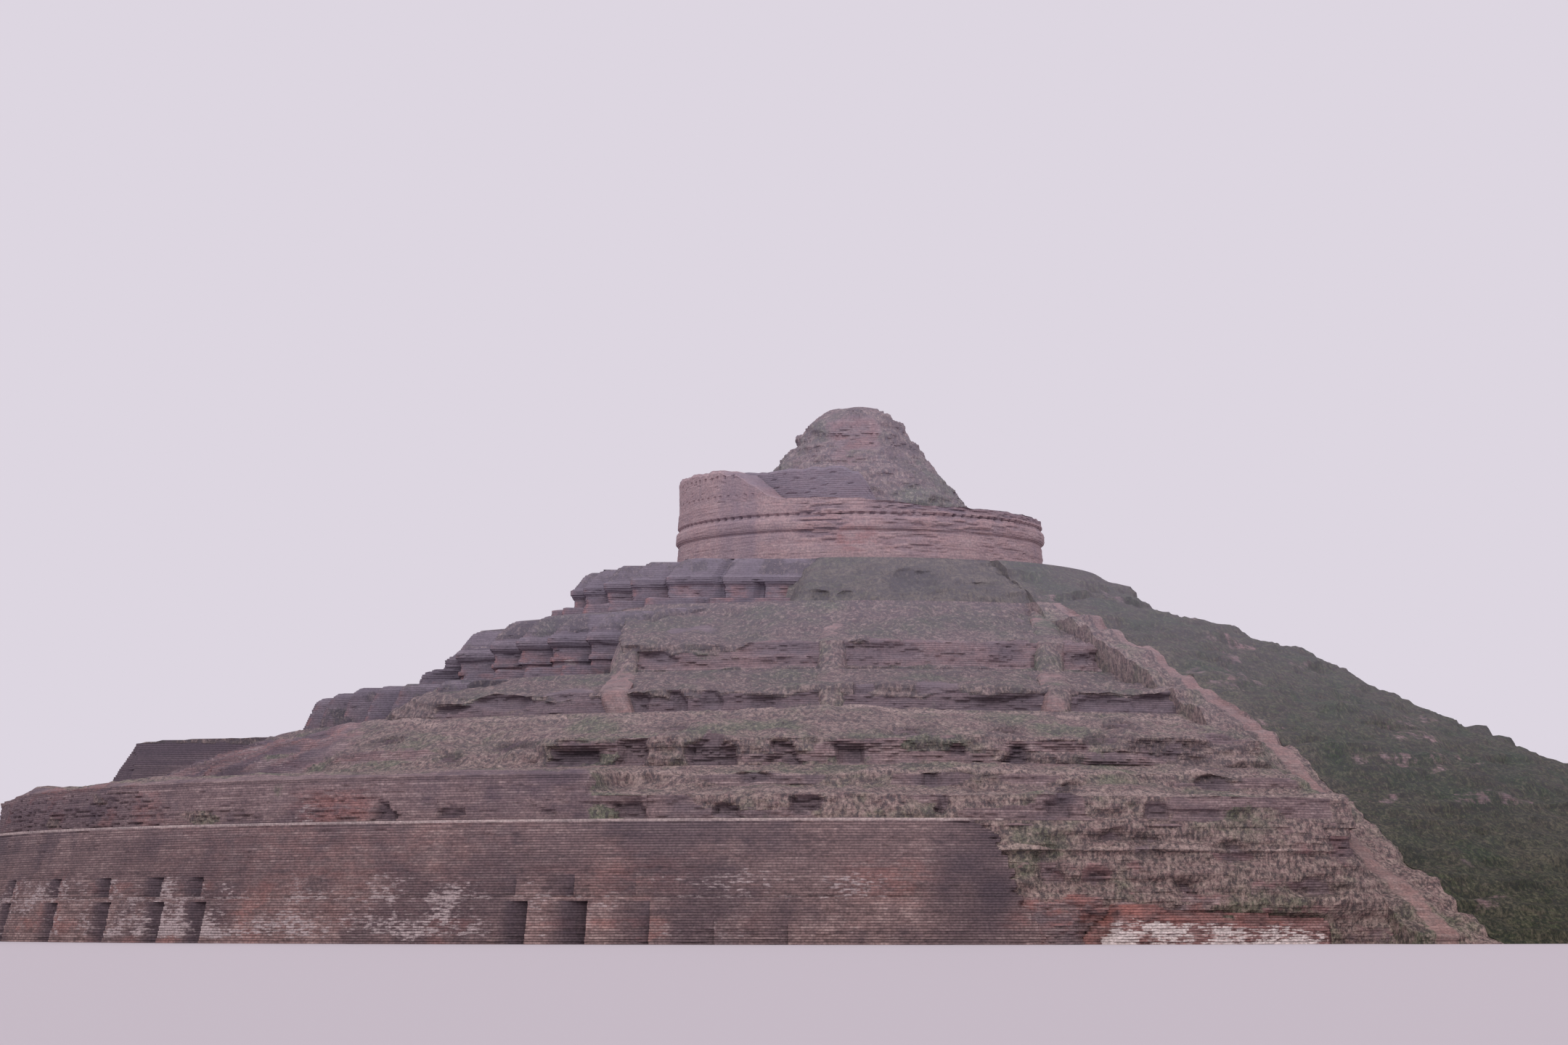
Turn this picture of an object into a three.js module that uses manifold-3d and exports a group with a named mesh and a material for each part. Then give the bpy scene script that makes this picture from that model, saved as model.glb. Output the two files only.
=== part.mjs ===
// A round terraced brick stupa, half dug out of its mound: a base wall, five terraces, a drum and a
// ruined summit. The real monument is about 114 m across, so this is a 1:10 model in millimetres.
// +Z is up and the front faces -Y. Every dimension below is in metres of the real monument. A bearing
// is in degrees round the axis: 0 is the front, -90 the left side, 90 the right side, 180 the back.
import * as THREE from "three";
import { mergeVertices } from "three/addons/utils/BufferGeometryUtils.js";
import Module from "manifold-3d";

const wasm = await Module();
wasm.setup();

// Scale of the model, and the gap left at every joint between two pieces: along, and as a bearing
const MM_PER_METRE = 100;
const SEAM = 0.003;
const SEAM_BEARING = 0.0045;

// A radius that lies outside everything, for the blocks and wedges that cut pieces to length
const BEYOND = 70;

// Heights of the terrace floors, from the ground up
const BASE_TOP = 5.6;
const LOWER_TOP = 8.4;
const SECOND_TOP = 11.5;
const THIRD_TOP = 14.0;
const FOURTH_TOP = 18.3;
const FIFTH_TOP = 21.2;

// The solid heart behind the facings of each terrace
const CORES = [
  { name: "base_core", bottom: 0, top: BASE_TOP, radius: 45 },
  { name: "lower_core", bottom: BASE_TOP, top: LOWER_TOP, radius: 40 },
  { name: "second_core", bottom: LOWER_TOP, top: SECOND_TOP, radius: 31 },
  { name: "third_core", bottom: SECOND_TOP, top: THIRD_TOP, radius: 22 },
  { name: "fourth_core", bottom: THIRD_TOP, top: FOURTH_TOP, radius: 15 },
  { name: "fifth_core", bottom: FOURTH_TOP, top: FIFTH_TOP, radius: 12.6 },
];
const CORE_SIDES = 60;

// The base wall: a battered lower tier with wedge-shaped recesses, a narrow ledge, and a battered upper tier
const BASE_FOOT = 52.2;
const LOWER_TIER = 2.1;
const UPPER_RECESS_TOP = 3.2;
const BASE_LEDGE = 0.25;
const BASE_BATTER = 0.26;
const RECESS_WIDTH = 1.8;
const RECESS_DEPTH = 0.95;
const UPPER_RECESS_DEPTH = 0.55;
const UPPER_RECESS_SHIFT = 0.8;
const FRONT_RECESSES = [-58.4, -51.5, -45.7, -40.8, -37.4, -17.1, -13.9, -10.6, -7.3, -3.6];
const SIDE_RECESSES = [-82, -76];

// Where the clean base wall ends at the front, and where the excavation meets the unexcavated mound
const BASE_WALL_END = 8;
const SLOPE_START = 33;
const BACK = 180;

// Earth strips left standing between the trenches: centre line across the front, and half width
const BAULKS = [
  { name: "earth_baulk_left", x: -12.4 },
  { name: "earth_baulk_middle", x: -1.4 },
  { name: "earth_baulk_right", x: 9.8 },
];
const BAULK_HALF_WIDTH = 0.65;
const BAULK_PROUD = 0.45;
const PATH_BAULK = [30.4, SLOPE_START];

// Colours and finishes of the masonry and earth
const finish = (color) => new THREE.MeshStandardMaterial({ color, roughness: 0.95, metalness: 0 });
const WEATHERED_BRICK = finish(0x8a6a62);
const DARK_BRICK = finish(0x655a60);
const RED_BRICK = finish(0xa37a70);
const SALTED_BRICK = finish(0xb59d98);
const RUBBLE_TURF = finish(0x7d7467);
const GREEN_TURF = finish(0x6c7362);
const DRY_EARTH = finish(0x97816f);
const PALE_COPING = finish(0xb0a098);

const radians = THREE.MathUtils.degToRad;
const degrees = THREE.MathUtils.radToDeg;

// The plan point at a bearing and a radius
function at(bearing, radius) {
  const angle = radians(bearing);
  return new THREE.Vector2(radius * Math.sin(angle), -radius * Math.cos(angle));
}

// Evenly spaced bearings from one to another, no further apart than a step
function bearingsBetween(from, to, step) {
  const count = Math.max(1, Math.ceil((to - from) / step));
  return Array.from({ length: count + 1 }, (_, i) => from + ((to - from) * i) / count);
}

// A value read off a table of [position, value] pairs in rising order of position
function readTable(table, position) {
  const next = table.findIndex(([p]) => p >= position);
  if (next === -1) return table[table.length - 1][1];
  if (next === 0) return table[0][1];
  const [p0, v0] = table[next - 1];
  const [p1, v1] = table[next];
  return v0 + ((v1 - v0) * (position - p0)) / (p1 - p0);
}

// Corners closer than this many millimetres are one corner
const WELD_DISTANCE = 1e-3;

// A closed three.js geometry as a manifold-3d solid
function solidFrom(geometry) {
  const bare = new THREE.BufferGeometry().setAttribute("position", geometry.getAttribute("position"));
  if (geometry.index) bare.setIndex(geometry.index);
  const merged = mergeVertices(bare, WELD_DISTANCE);
  const corners = Array.from(merged.index.array);
  const kept = [];
  for (let i = 0; i < corners.length; i += 3) {
    const [a, b, c] = corners.slice(i, i + 3);
    if (a !== b && b !== c && a !== c) kept.push(a, b, c);
  }
  return new wasm.Manifold(
    new wasm.Mesh({
      numProp: 3,
      vertProperties: merged.attributes.position.array,
      triVerts: new Uint32Array(kept),
    }),
  );
}

// A manifold-3d solid back as a three.js geometry with flat faces
function geometryFrom(solid) {
  const { vertProperties, triVerts, numProp } = solid.getMesh();
  const positions = new Float32Array((vertProperties.length / numProp) * 3);
  for (let v = 0; v < positions.length / 3; v += 1)
    for (let k = 0; k < 3; k += 1) positions[v * 3 + k] = vertProperties[v * numProp + k];
  const geometry = new THREE.BufferGeometry();
  geometry.setAttribute("position", new THREE.BufferAttribute(positions, 3));
  geometry.setIndex(Array.from(triVerts));
  return geometry;
}

// A solid lofted through level outlines that all have the same number of points, anticlockwise from above
function loft(levels) {
  const positions = [];
  const faces = [];
  const count = levels[0].outline.length;
  for (const { z, outline } of levels)
    for (const p of outline) positions.push(p.x * MM_PER_METRE, p.y * MM_PER_METRE, z * MM_PER_METRE);
  for (let level = 0; level + 1 < levels.length; level += 1)
    for (let i = 0; i < count; i += 1) {
      const a = level * count + i;
      const b = level * count + ((i + 1) % count);
      faces.push(a, b, b + count, a, b + count, a + count);
    }
  const top = (levels.length - 1) * count;
  for (const [a, b, c] of THREE.ShapeUtils.triangulateShape(levels[0].outline, [])) faces.push(a, c, b);
  for (const [a, b, c] of THREE.ShapeUtils.triangulateShape(levels[levels.length - 1].outline, []))
    faces.push(top + a, top + b, top + c);
  const geometry = new THREE.BufferGeometry();
  geometry.setAttribute("position", new THREE.Float32BufferAttribute(positions, 3));
  geometry.setIndex(faces);
  return solidFrom(geometry);
}

// A stretch of ring between two bearings. Each level gives z, an outer radius for a bearing, and an
// inner radius. The inner face is hidden, so its facets are longer.
const INNER_FACET_RATIO = 1.6;

function ringStretch(from, to, levels, { step = 5, extraBearings = [] } = {}) {
  const start = from + SEAM_BEARING;
  const end = to - SEAM_BEARING;
  const extra = extraBearings.filter((b) => b > start && b < end);
  const outer = [...bearingsBetween(start, end, step), ...extra].sort((a, b) => a - b);
  const inner = bearingsBetween(start, end, step * INNER_FACET_RATIO).reverse();
  return loft(
    levels.map(({ z, outerRadius, innerRadius }) => ({
      z,
      outline: [...outer.map((b) => at(b, outerRadius(b))), ...inner.map((b) => at(b, innerRadius))],
    })),
  );
}

// A box between two corners
function block(low, high) {
  const size = high.map((h, i) => (h - low[i]) * MM_PER_METRE);
  const centre = high.map((h, i) => ((h + low[i]) / 2) * MM_PER_METRE);
  return solidFrom(new THREE.BoxGeometry(...size).translate(...centre));
}

// An upright round solid on the axis
function disc(bottom, top, radius, sides = CORE_SIDES) {
  const height = (top - bottom) * MM_PER_METRE;
  const cylinder = new THREE.CylinderGeometry(radius * MM_PER_METRE, radius * MM_PER_METRE, height, sides);
  cylinder.rotateX(Math.PI / 2).translate(0, 0, bottom * MM_PER_METRE + height / 2);
  return solidFrom(cylinder);
}

// Everything between two bearings that are less than half a turn apart, from bottom to top
function wedge(from, to, bottom, top) {
  const outline = [
    new THREE.Vector2(0, 0),
    ...bearingsBetween(from + SEAM_BEARING, to - SEAM_BEARING, 45).map((b) => at(b, 2 * BEYOND)),
  ];
  return loft([
    { z: bottom, outline },
    { z: top, outline },
  ]);
}

const model = new THREE.Group();

function add(name, solid, material) {
  const mesh = new THREE.Mesh(geometryFrom(solid), material);
  mesh.name = name;
  model.add(mesh);
}

// Facings start inside their core, and the core is then cut away from them with a seam to spare
const CORE_OVERLAP = 1;
const insideOf = (core) => core.radius - CORE_OVERLAP;
const [BASE, LOWER, SECOND, THIRD, FOURTH, FIFTH] = CORES;

function outsideCores(solid, cores = CORES) {
  return cores.reduce(
    (left, { bottom, top, radius }) => left.subtract(disc(bottom === 0 ? -1 : bottom, top, radius + SEAM)),
    solid,
  );
}

// Core discs, one on another, whose tops are the terrace floors
for (const { name, bottom, top, radius } of CORES) add(name, disc(bottom, top - SEAM, radius), RUBBLE_TURF);

// Base wall

// Recesses on the unseen back half mirror those of the front half
const LEFT_SIDE = -90;
const outwardFrom = (edge) => (edge > LEFT_SIDE ? -1 : 1);
const RECESSES = [...FRONT_RECESSES, ...SIDE_RECESSES].flatMap((edge) => [edge, -BACK - edge]);

// How far a row of recesses cuts into the wall at a bearing. Each is deepest at its sharp edge and
// runs out towards the left side of the monument.
function recessDepth(bearing, shift, depth) {
  const cuts = RECESSES.map((edge) => {
    const along = radians((bearing - edge) * outwardFrom(edge)) * BASE_FOOT - shift;
    return along >= 0 ? depth * (1 - along / RECESS_WIDTH) : 0;
  });
  return Math.max(0, ...cuts);
}

const lowerTierRadius = (z) => BASE_FOOT - BASE_BATTER * z;
const upperTierRadius = (z) => lowerTierRadius(z) - BASE_LEDGE;
const lowerRecessed = (z) => (bearing) =>
  Math.min(lowerTierRadius(z), BASE_FOOT - recessDepth(bearing, 0, RECESS_DEPTH));
const upperRecessed = (z) => (bearing) => {
  const depth = recessDepth(bearing, UPPER_RECESS_SHIFT, UPPER_RECESS_DEPTH);
  return Math.min(upperTierRadius(z), upperTierRadius(LOWER_TIER) - depth);
};

const baseWallLevels = [
  { z: 0, outerRadius: lowerRecessed(0) },
  { z: LOWER_TIER / 2, outerRadius: lowerRecessed(LOWER_TIER / 2) },
  { z: LOWER_TIER, outerRadius: lowerRecessed(LOWER_TIER) },
  { z: LOWER_TIER, outerRadius: upperRecessed(LOWER_TIER) },
  { z: UPPER_RECESS_TOP, outerRadius: upperRecessed(UPPER_RECESS_TOP) },
  { z: UPPER_RECESS_TOP, outerRadius: () => upperTierRadius(UPPER_RECESS_TOP) },
  { z: BASE_TOP - SEAM, outerRadius: () => upperTierRadius(BASE_TOP) },
].map((level) => ({ ...level, innerRadius: insideOf(BASE) }));

// The bearings at which the outline of a recess turns
const EDGE_SHARPNESS = 0.02;
const recessBearings = RECESSES.flatMap((edge) => {
  const turn = (along) => edge + degrees(along / BASE_FOOT) * outwardFrom(edge);
  return [
    turn(-EDGE_SHARPNESS),
    turn(0),
    turn(RECESS_WIDTH),
    turn(UPPER_RECESS_SHIFT - EDGE_SHARPNESS),
    turn(UPPER_RECESS_SHIFT),
    turn(UPPER_RECESS_SHIFT + RECESS_WIDTH),
  ];
});

const BASE_WALLS = [
  { name: "base_wall_back", from: -BACK, to: -152 },
  { name: "base_wall_back_left", from: -152, to: -118 },
  { name: "base_wall_left_back", from: -118, to: -90 },
  { name: "base_wall_left_front", from: -90, to: -62 },
  { name: "base_wall_front_left", from: -62, to: -28 },
  { name: "base_wall_front", from: -28, to: BASE_WALL_END },
];
for (const { name, from, to } of BASE_WALLS)
  add(
    name,
    outsideCores(ringStretch(from, to, baseWallLevels, { step: 7, extraBearings: recessBearings })),
    WEATHERED_BRICK,
  );

// The broken end of the base: a low salted wall, and the bank of rubble that has slid over it
const LOW_WALL = { from: 11.3, to: 25.5, foot: 51.9, back: 50.4, height: 1.45, batter: 0.12 };
const lowWallStretch = ringStretch(
  LOW_WALL.from,
  LOW_WALL.to,
  [0, LOW_WALL.height].map((z) => ({
    z,
    outerRadius: () => LOW_WALL.foot - (LOW_WALL.batter * z) / LOW_WALL.height,
    innerRadius: LOW_WALL.back - CORE_OVERLAP,
  })),
);
add("salted_low_wall", lowWallStretch.subtract(disc(-1, BASE_TOP, LOW_WALL.back)), SALTED_BRICK);

// Height and radius of the slid bank, which leans on the back of the low wall
const BANK_PROFILE = [
  [0, LOW_WALL.back + 0.1],
  [LOW_WALL.height, LOW_WALL.back + 0.1],
  [2.6, 50.35],
  [4.2, 50.15],
  [BASE_TOP, 49.9],
];
const ringLevels = (profile, core) =>
  profile.map(([z, radius]) => ({ z, outerRadius: () => radius, innerRadius: insideOf(core) }));
const lastSeam = (profile) =>
  profile.map(([z, radius], i) => [i === profile.length - 1 ? z - SEAM : z, radius]);
const slidBank = ringStretch(BASE_WALL_END, PATH_BAULK[0], ringLevels(lastSeam(BANK_PROFILE), BASE));
add(
  "rubble_bank_front",
  outsideCores(slidBank).intersect(disc(-1, BASE_TOP, LOW_WALL.back - SEAM)),
  RUBBLE_TURF,
);

// A pale coping course along the top edge of the base wall
const COPING = { height: 0.09, back: 50.0, proud: 0.04 };
const COPINGS = [
  { name: "base_coping_left", from: -BACK, to: -90 },
  { name: "base_coping_front", from: -90, to: BASE_WALL_END },
];
for (const { name, from, to } of COPINGS) {
  const stretch = ringStretch(
    from,
    to,
    [BASE_TOP, BASE_TOP + COPING.height].map((z) => ({
      z,
      outerRadius: () => upperTierRadius(BASE_TOP) + COPING.proud,
      innerRadius: COPING.back - CORE_OVERLAP,
    })),
  );
  add(name, stretch.subtract(disc(0, LOWER_TOP, COPING.back)), PALE_COPING);
}

// Lower and second terraces

// Niches cut straight back into a terrace face: centre across the front, floor height and size
const LOWER_NICHE = { width: 1.2, height: 0.9, floor: 5.85, depth: 1.0, face: 49.9 };
const LOWER_NICHES_LEFT = [-22.7, -19.1, -14.6];
const LOWER_NICHES_FRONT = [-10.6, -6.0, -2.4, 3.9, 8.9, 13.7];
const SECOND_NICHE = { width: 1.5, height: 1.0, floor: 8.7, depth: 1.1, face: 42.8 };
const SECOND_NICHES = [-10.9, -6.9, -3.7, -0.5, 4.5];

// The plan distance to the front of a circle at a distance across
const frontOf = (x, radius) => Math.sqrt(radius * radius - x * x);

function withNiches(solid, niche, centres) {
  let cut = solid;
  for (const x of centres) {
    const face = frontOf(Math.abs(x) + niche.width / 2, niche.face);
    const hole = block(
      [x - niche.width / 2, -niche.face - 1, niche.floor],
      [x + niche.width / 2, -face + niche.depth, niche.floor + niche.height],
    );
    cut = cut.subtract(hole);
  }
  return cut;
}

// A standing face and then a slope of ruined courses, from the foot of one terrace to the foot of the next
const LOWER_WALL = [
  [BASE_TOP, 49.9],
  [7.7, 49.4],
  [7.9, 48.4],
  [LOWER_TOP, 43.6],
];
const LOWER_RUIN = [
  [BASE_TOP, 49.9],
  [7.5, 49.4],
  [8.1, 48.0],
  [LOWER_TOP, 43.4],
];
const LOWER_FRONT = [
  [BASE_TOP, 49.9],
  [6.9, 49.5],
  [7.35, 46.0],
  [8.05, 45.5],
  [LOWER_TOP, 43.2],
];
const SECOND_WALL = [
  [LOWER_TOP, 43.1],
  [11.1, 42.3],
  [SECOND_TOP, 34.4],
];
const SECOND_RUIN = [
  [LOWER_TOP, 42.6],
  [9.3, 40.6],
  [10.5, 37.6],
  [SECOND_TOP, 34.4],
];
const SECOND_FRONT = [
  [LOWER_TOP, 42.8],
  [9.85, 42.3],
  [10.6, 38.6],
  [SECOND_TOP, 34.4],
];
// Bearings at which one stretch of a terrace ends and the next begins
const BACK_SPLIT = -128;
const RUIN_START = -76;
const LOWER_TRENCH_START = -14.5;
const SECOND_TRENCH_START = -25;
const [TRENCHES_END] = PATH_BAULK;

const terraceStretch = (from, to, profile, core) =>
  outsideCores(ringStretch(from, to, ringLevels(lastSeam(profile), core)));

const lowerRuin = terraceStretch(RUIN_START, LOWER_TRENCH_START, LOWER_RUIN, LOWER);
const lowerFront = terraceStretch(LOWER_TRENCH_START, TRENCHES_END, LOWER_FRONT, LOWER);
const secondRuin = terraceStretch(RUIN_START, SECOND_TRENCH_START, SECOND_RUIN, SECOND);
const secondFront = terraceStretch(SECOND_TRENCH_START, TRENCHES_END, SECOND_FRONT, SECOND);

add("lower_terrace_back", terraceStretch(-BACK, BACK_SPLIT, LOWER_WALL, LOWER), WEATHERED_BRICK);
add("lower_terrace_left", terraceStretch(BACK_SPLIT, RUIN_START, LOWER_WALL, LOWER), WEATHERED_BRICK);
add(
  "lower_terrace_front_left",
  withNiches(lowerRuin, LOWER_NICHE, LOWER_NICHES_LEFT),
  WEATHERED_BRICK,
);
add("lower_terrace_front", withNiches(lowerFront, LOWER_NICHE, LOWER_NICHES_FRONT), RUBBLE_TURF);

add("second_terrace_back", terraceStretch(-BACK, BACK_SPLIT, SECOND_WALL, SECOND), DARK_BRICK);
add("second_terrace_left", terraceStretch(BACK_SPLIT, RUIN_START, SECOND_WALL, SECOND), DARK_BRICK);
add("second_terrace_front_left", secondRuin, WEATHERED_BRICK);
add("second_terrace_front", withNiches(secondFront, SECOND_NICHE, SECOND_NICHES), RUBBLE_TURF);

// Third, fourth and fifth terraces

// The outline of a terrace whose round plan is cut into square steps. The corners stand on a circle,
// at bearings away from the front face, and an inset moves every face inwards.
function steppedOutline({ radius, corners }, inset) {
  const quadrant = corners.flatMap((bearing, i) => {
    const across = radius * Math.sin(radians(bearing));
    const along = radius * Math.cos(radians(bearing));
    const next = corners[i + 1];
    const nook = next === undefined ? [] : [[across, radius * Math.cos(radians(next))]];
    return [[across, along], ...nook];
  });
  const placed = (signX, signY) =>
    quadrant.map(([u, v]) => new THREE.Vector2(signX * (u - inset), signY * (v - inset)));
  return [
    ...placed(1, -1),
    ...placed(1, 1).reverse(),
    ...placed(-1, 1),
    ...placed(-1, -1).reverse(),
  ];
}

// Corners given from the front face to the diagonal, and repeated from there to the side face
const mirrored = (half) => [...half, 45, ...half.map((bearing) => 90 - bearing).reverse()];

// A stretch of a stepped terrace between two bearings, outside its core
function steppedStretch(plan, profile, from, to) {
  const [bottom] = profile[0];
  const [top] = profile[profile.length - 1];
  const whole = loft(lastSeam(profile).map(([z, inset]) => ({ z, outline: steppedOutline(plan, inset) })));
  return outsideCores(whole).intersect(wedge(from, to, bottom - 1, top + 1));
}

const THIRD_PLAN = { radius: 33.0, corners: mirrored([12.6, 22.9, 29.2, 34.5, 39.1]) };
const THIRD_PROFILE = [
  [SECOND_TOP, 0],
  [13.5, 0.75],
  [13.8, 1.1],
  [THIRD_TOP, 5.0],
];
const FOURTH_PLAN = { radius: 23.9, corners: mirrored([12.9, 30.5, 38.0]) };
const FOURTH_PROFILE = [
  [THIRD_TOP, -1.6],
  [14.75, -1.4],
  [14.8, 0],
  [16.1, 0.05],
  [16.2, -0.2],
  [16.55, -0.2],
  [16.65, 0.05],
  [17.75, 0.85],
  [17.9, 1.2],
  [FOURTH_TOP, 3.6],
];
const FIFTH_PLAN = { radius: 17.4, corners: [38, 47, 56, 65, 72] };
const FIFTH_PROFILE = [
  [FOURTH_TOP, -1.3],
  [18.85, -1.2],
  [18.9, 0],
  [19.75, 0.05],
  [19.8, -0.18],
  [20.1, -0.18],
  [20.2, 0.1],
  [21.0, 0.65],
  [FIFTH_TOP, 0.9],
];
const THIRD_CLEAN_END = -50;
const FOURTH_CLEAN_END = -33;
const FIFTH_CLEAN_END = -11;

const STEPPED_TERRACES = [
  { name: "third", plan: THIRD_PLAN, profile: THIRD_PROFILE, split: -115, end: THIRD_CLEAN_END },
  { name: "fourth", plan: FOURTH_PLAN, profile: FOURTH_PROFILE, split: -106, end: FOURTH_CLEAN_END },
  { name: "fifth", plan: FIFTH_PLAN, profile: FIFTH_PROFILE, split: -95, end: FIFTH_CLEAN_END },
];
for (const { name, plan, profile, split, end } of STEPPED_TERRACES) {
  add(`${name}_terrace_back`, steppedStretch(plan, profile, -BACK, split), DARK_BRICK);
  add(`${name}_terrace_left`, steppedStretch(plan, profile, split, end), DARK_BRICK);
}

// The front trenches of the third and fourth terraces, between the earth baulks
const THIRD_FRONT = [
  [SECOND_TOP, 33.9],
  [12.8, 33.4],
  [13.4, 30.2],
  [THIRD_TOP, 27.6],
];
const FOURTH_FRONT = [
  [THIRD_TOP, 27.0],
  [15.7, 26.4],
  [17.4, 20.8],
  [FOURTH_TOP, 19.0],
];

// The part of a solid between two distances across the front
function between(solid, left, right, bottom, top) {
  return solid.intersect(block([left, -BEYOND, bottom - 1], [right, 0, top + 1]));
}

const baulkSide = (baulk, side) => baulk.x + side * (BAULK_HALF_WIDTH + SEAM);
const [BAULK_LEFT, BAULK_MIDDLE, BAULK_RIGHT] = BAULKS;
const TRENCHES = [
  { place: "far_left", left: -BEYOND, right: baulkSide(BAULK_LEFT, -1), onlyThird: true },
  { place: "left", left: baulkSide(BAULK_LEFT, 1), right: baulkSide(BAULK_MIDDLE, -1) },
  { place: "middle", left: baulkSide(BAULK_MIDDLE, 1), right: baulkSide(BAULK_RIGHT, -1) },
  { place: "right", left: baulkSide(BAULK_RIGHT, 1), right: BEYOND },
];
const trenchWalls = [
  { name: "third_trench", profile: THIRD_FRONT, core: THIRD, from: THIRD_CLEAN_END },
  { name: "fourth_trench", profile: FOURTH_FRONT, core: FOURTH, from: FOURTH_CLEAN_END },
];
for (const { name, profile, core, from } of trenchWalls) {
  const whole = terraceStretch(from, TRENCHES_END, profile, core);
  for (const { place, left, right, onlyThird } of TRENCHES)
    if (!onlyThird || core === THIRD)
      add(`${name}_${place}`, between(whole, left, right, core.bottom, core.top), RUBBLE_TURF);
}

// The baulks: straight strips that stand a little proud of the trench slopes on either side
const BAULK_PROFILE = [
  [SECOND_TOP, 34.65],
  [12.9, 33.5],
  [THIRD_TOP, 28.0],
  [15.8, 26.0],
  [17.5, 20.8],
  [FOURTH_TOP, 19.0],
];
for (const { name, x } of BAULKS) {
  const section = [
    ...BAULK_PROFILE.map(([z, radius]) => [-radius - BAULK_PROUD, z]),
    [-insideOf(FOURTH), FOURTH_TOP],
    [-insideOf(FOURTH), THIRD_TOP],
    [-insideOf(THIRD), THIRD_TOP],
    [-insideOf(THIRD), SECOND_TOP],
  ].map(([y, z]) => new THREE.Vector2(y * MM_PER_METRE, z * MM_PER_METRE));
  const strip = new THREE.ExtrudeGeometry(new THREE.Shape(section), {
    depth: 2 * BAULK_HALF_WIDTH * MM_PER_METRE,
    bevelEnabled: false,
  });
  // The section is drawn as (y, z) on the (x, y) plane, then stood up and pushed along x
  const standing = new THREE.Matrix4().makeBasis(
    new THREE.Vector3(0, 1, 0),
    new THREE.Vector3(0, 0, 1),
    new THREE.Vector3(1, 0, 0),
  );
  strip.applyMatrix4(standing.setPosition((x - BAULK_HALF_WIDTH) * MM_PER_METRE, 0, 0));
  const trenches = wedge(FOURTH_CLEAN_END, TRENCHES_END, 0, FIFTH_TOP);
  add(name, outsideCores(solidFrom(strip)).intersect(trenches), DRY_EARTH);
}

// Fifth terrace front: turf over the broken face, with one hollow in it
const FIFTH_FRONT = [
  [FOURTH_TOP, 17.9],
  [19.2, 17.0],
  [20.4, 14.9],
  [FIFTH_TOP, 13.4],
];
const HOLLOW = { left: 1.5, right: 4.0, back: -13.6, bottom: 18.7, top: 20.3 };
const hollow = block([HOLLOW.left, -BEYOND, HOLLOW.bottom], [HOLLOW.right, HOLLOW.back, HOLLOW.top]);
const fifthFront = terraceStretch(FIFTH_CLEAN_END, SLOPE_START, FIFTH_FRONT, FIFTH);
add("fifth_terrace_front", fifthFront.subtract(hollow), GREEN_TURF);

// The unexcavated mound

// Radius of the grassed slope at a height, on the right side
const SLOPE_PROFILE = [
  [0, 62],
  [0.7, 60.4],
  [2.4, 56.6],
  [5.2, 50.8],
  [7.6, 45.6],
  [9.6, 41.1],
  [11.4, 36.7],
  [13.3, 32.2],
  [15.4, 27.7],
  [17.6, 22.7],
  [18.2, 20.4],
  [18.8, 17.9],
  [20.2, 15.9],
  [FIFTH_TOP, 14.2],
];
// How far the toe of the slope stands out at each bearing
const SLOPE_TOES = [
  [30, 54.0],
  [45, 56.5],
  [70, 61.0],
  [90, 62.0],
  [130, 60.5],
  [180, 55.5],
];
const TOE_BLEND = 12;

function slopeRadius(z, bearing) {
  const drawnIn = SLOPE_PROFILE[0][1] - readTable(SLOPE_TOES, bearing);
  return readTable(SLOPE_PROFILE, z) - drawnIn * Math.max(0, 1 - z / TOE_BLEND);
}

// A bank outside every core, from the ground to the top of the highest core it leans on
function bank(from, to, highest, proud, step) {
  const heights = SLOPE_PROFILE.map(([z]) => z).filter((z) => z < highest.top);
  const levels = [...heights, highest.top - SEAM].map((z) => ({
    z,
    outerRadius: (bearing) => slopeRadius(z, bearing) + (z > 0 ? proud : 0),
    innerRadius: insideOf(highest),
  }));
  return outsideCores(ringStretch(from, to, levels, { step }));
}

const MOUND = [
  { name: "mound_slope_front", from: SLOPE_START, to: 80 },
  { name: "mound_slope_right", from: 80, to: 130 },
  { name: "mound_slope_back", from: 130, to: BACK },
];
for (const { name, from, to } of MOUND) add(name, bank(from, to, FIFTH, 0, 8), GREEN_TURF);

add("earth_baulk_path", bank(...PATH_BAULK, FOURTH, BAULK_PROUD, 3), DRY_EARTH);

// The drum

// The hidden side of a standing wall is made this much too deep, and then cut to its neighbour's curve
const CURVE_ALLOWANCE = 0.3;

const DRUM = { radius: 10.75, inner: 8.9, sides: 56 };
const MOULDING_BOTTOM = 23.05;
const MOULDING_TOP = 23.95;
const BROKEN_TOP = 24.7;
const DRUM_TOP = 27.0;
const INNER_TOP = 26.7;

// A full ring of brickwork round the axis from an outline of [radius, z] pairs
function turned(outline, sides) {
  const points = [...outline, outline[0]].map(
    ([radius, z]) => new THREE.Vector2(radius * MM_PER_METRE, z * MM_PER_METRE),
  );
  return solidFrom(new THREE.LatheGeometry(points, sides).rotateX(Math.PI / 2));
}

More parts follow.
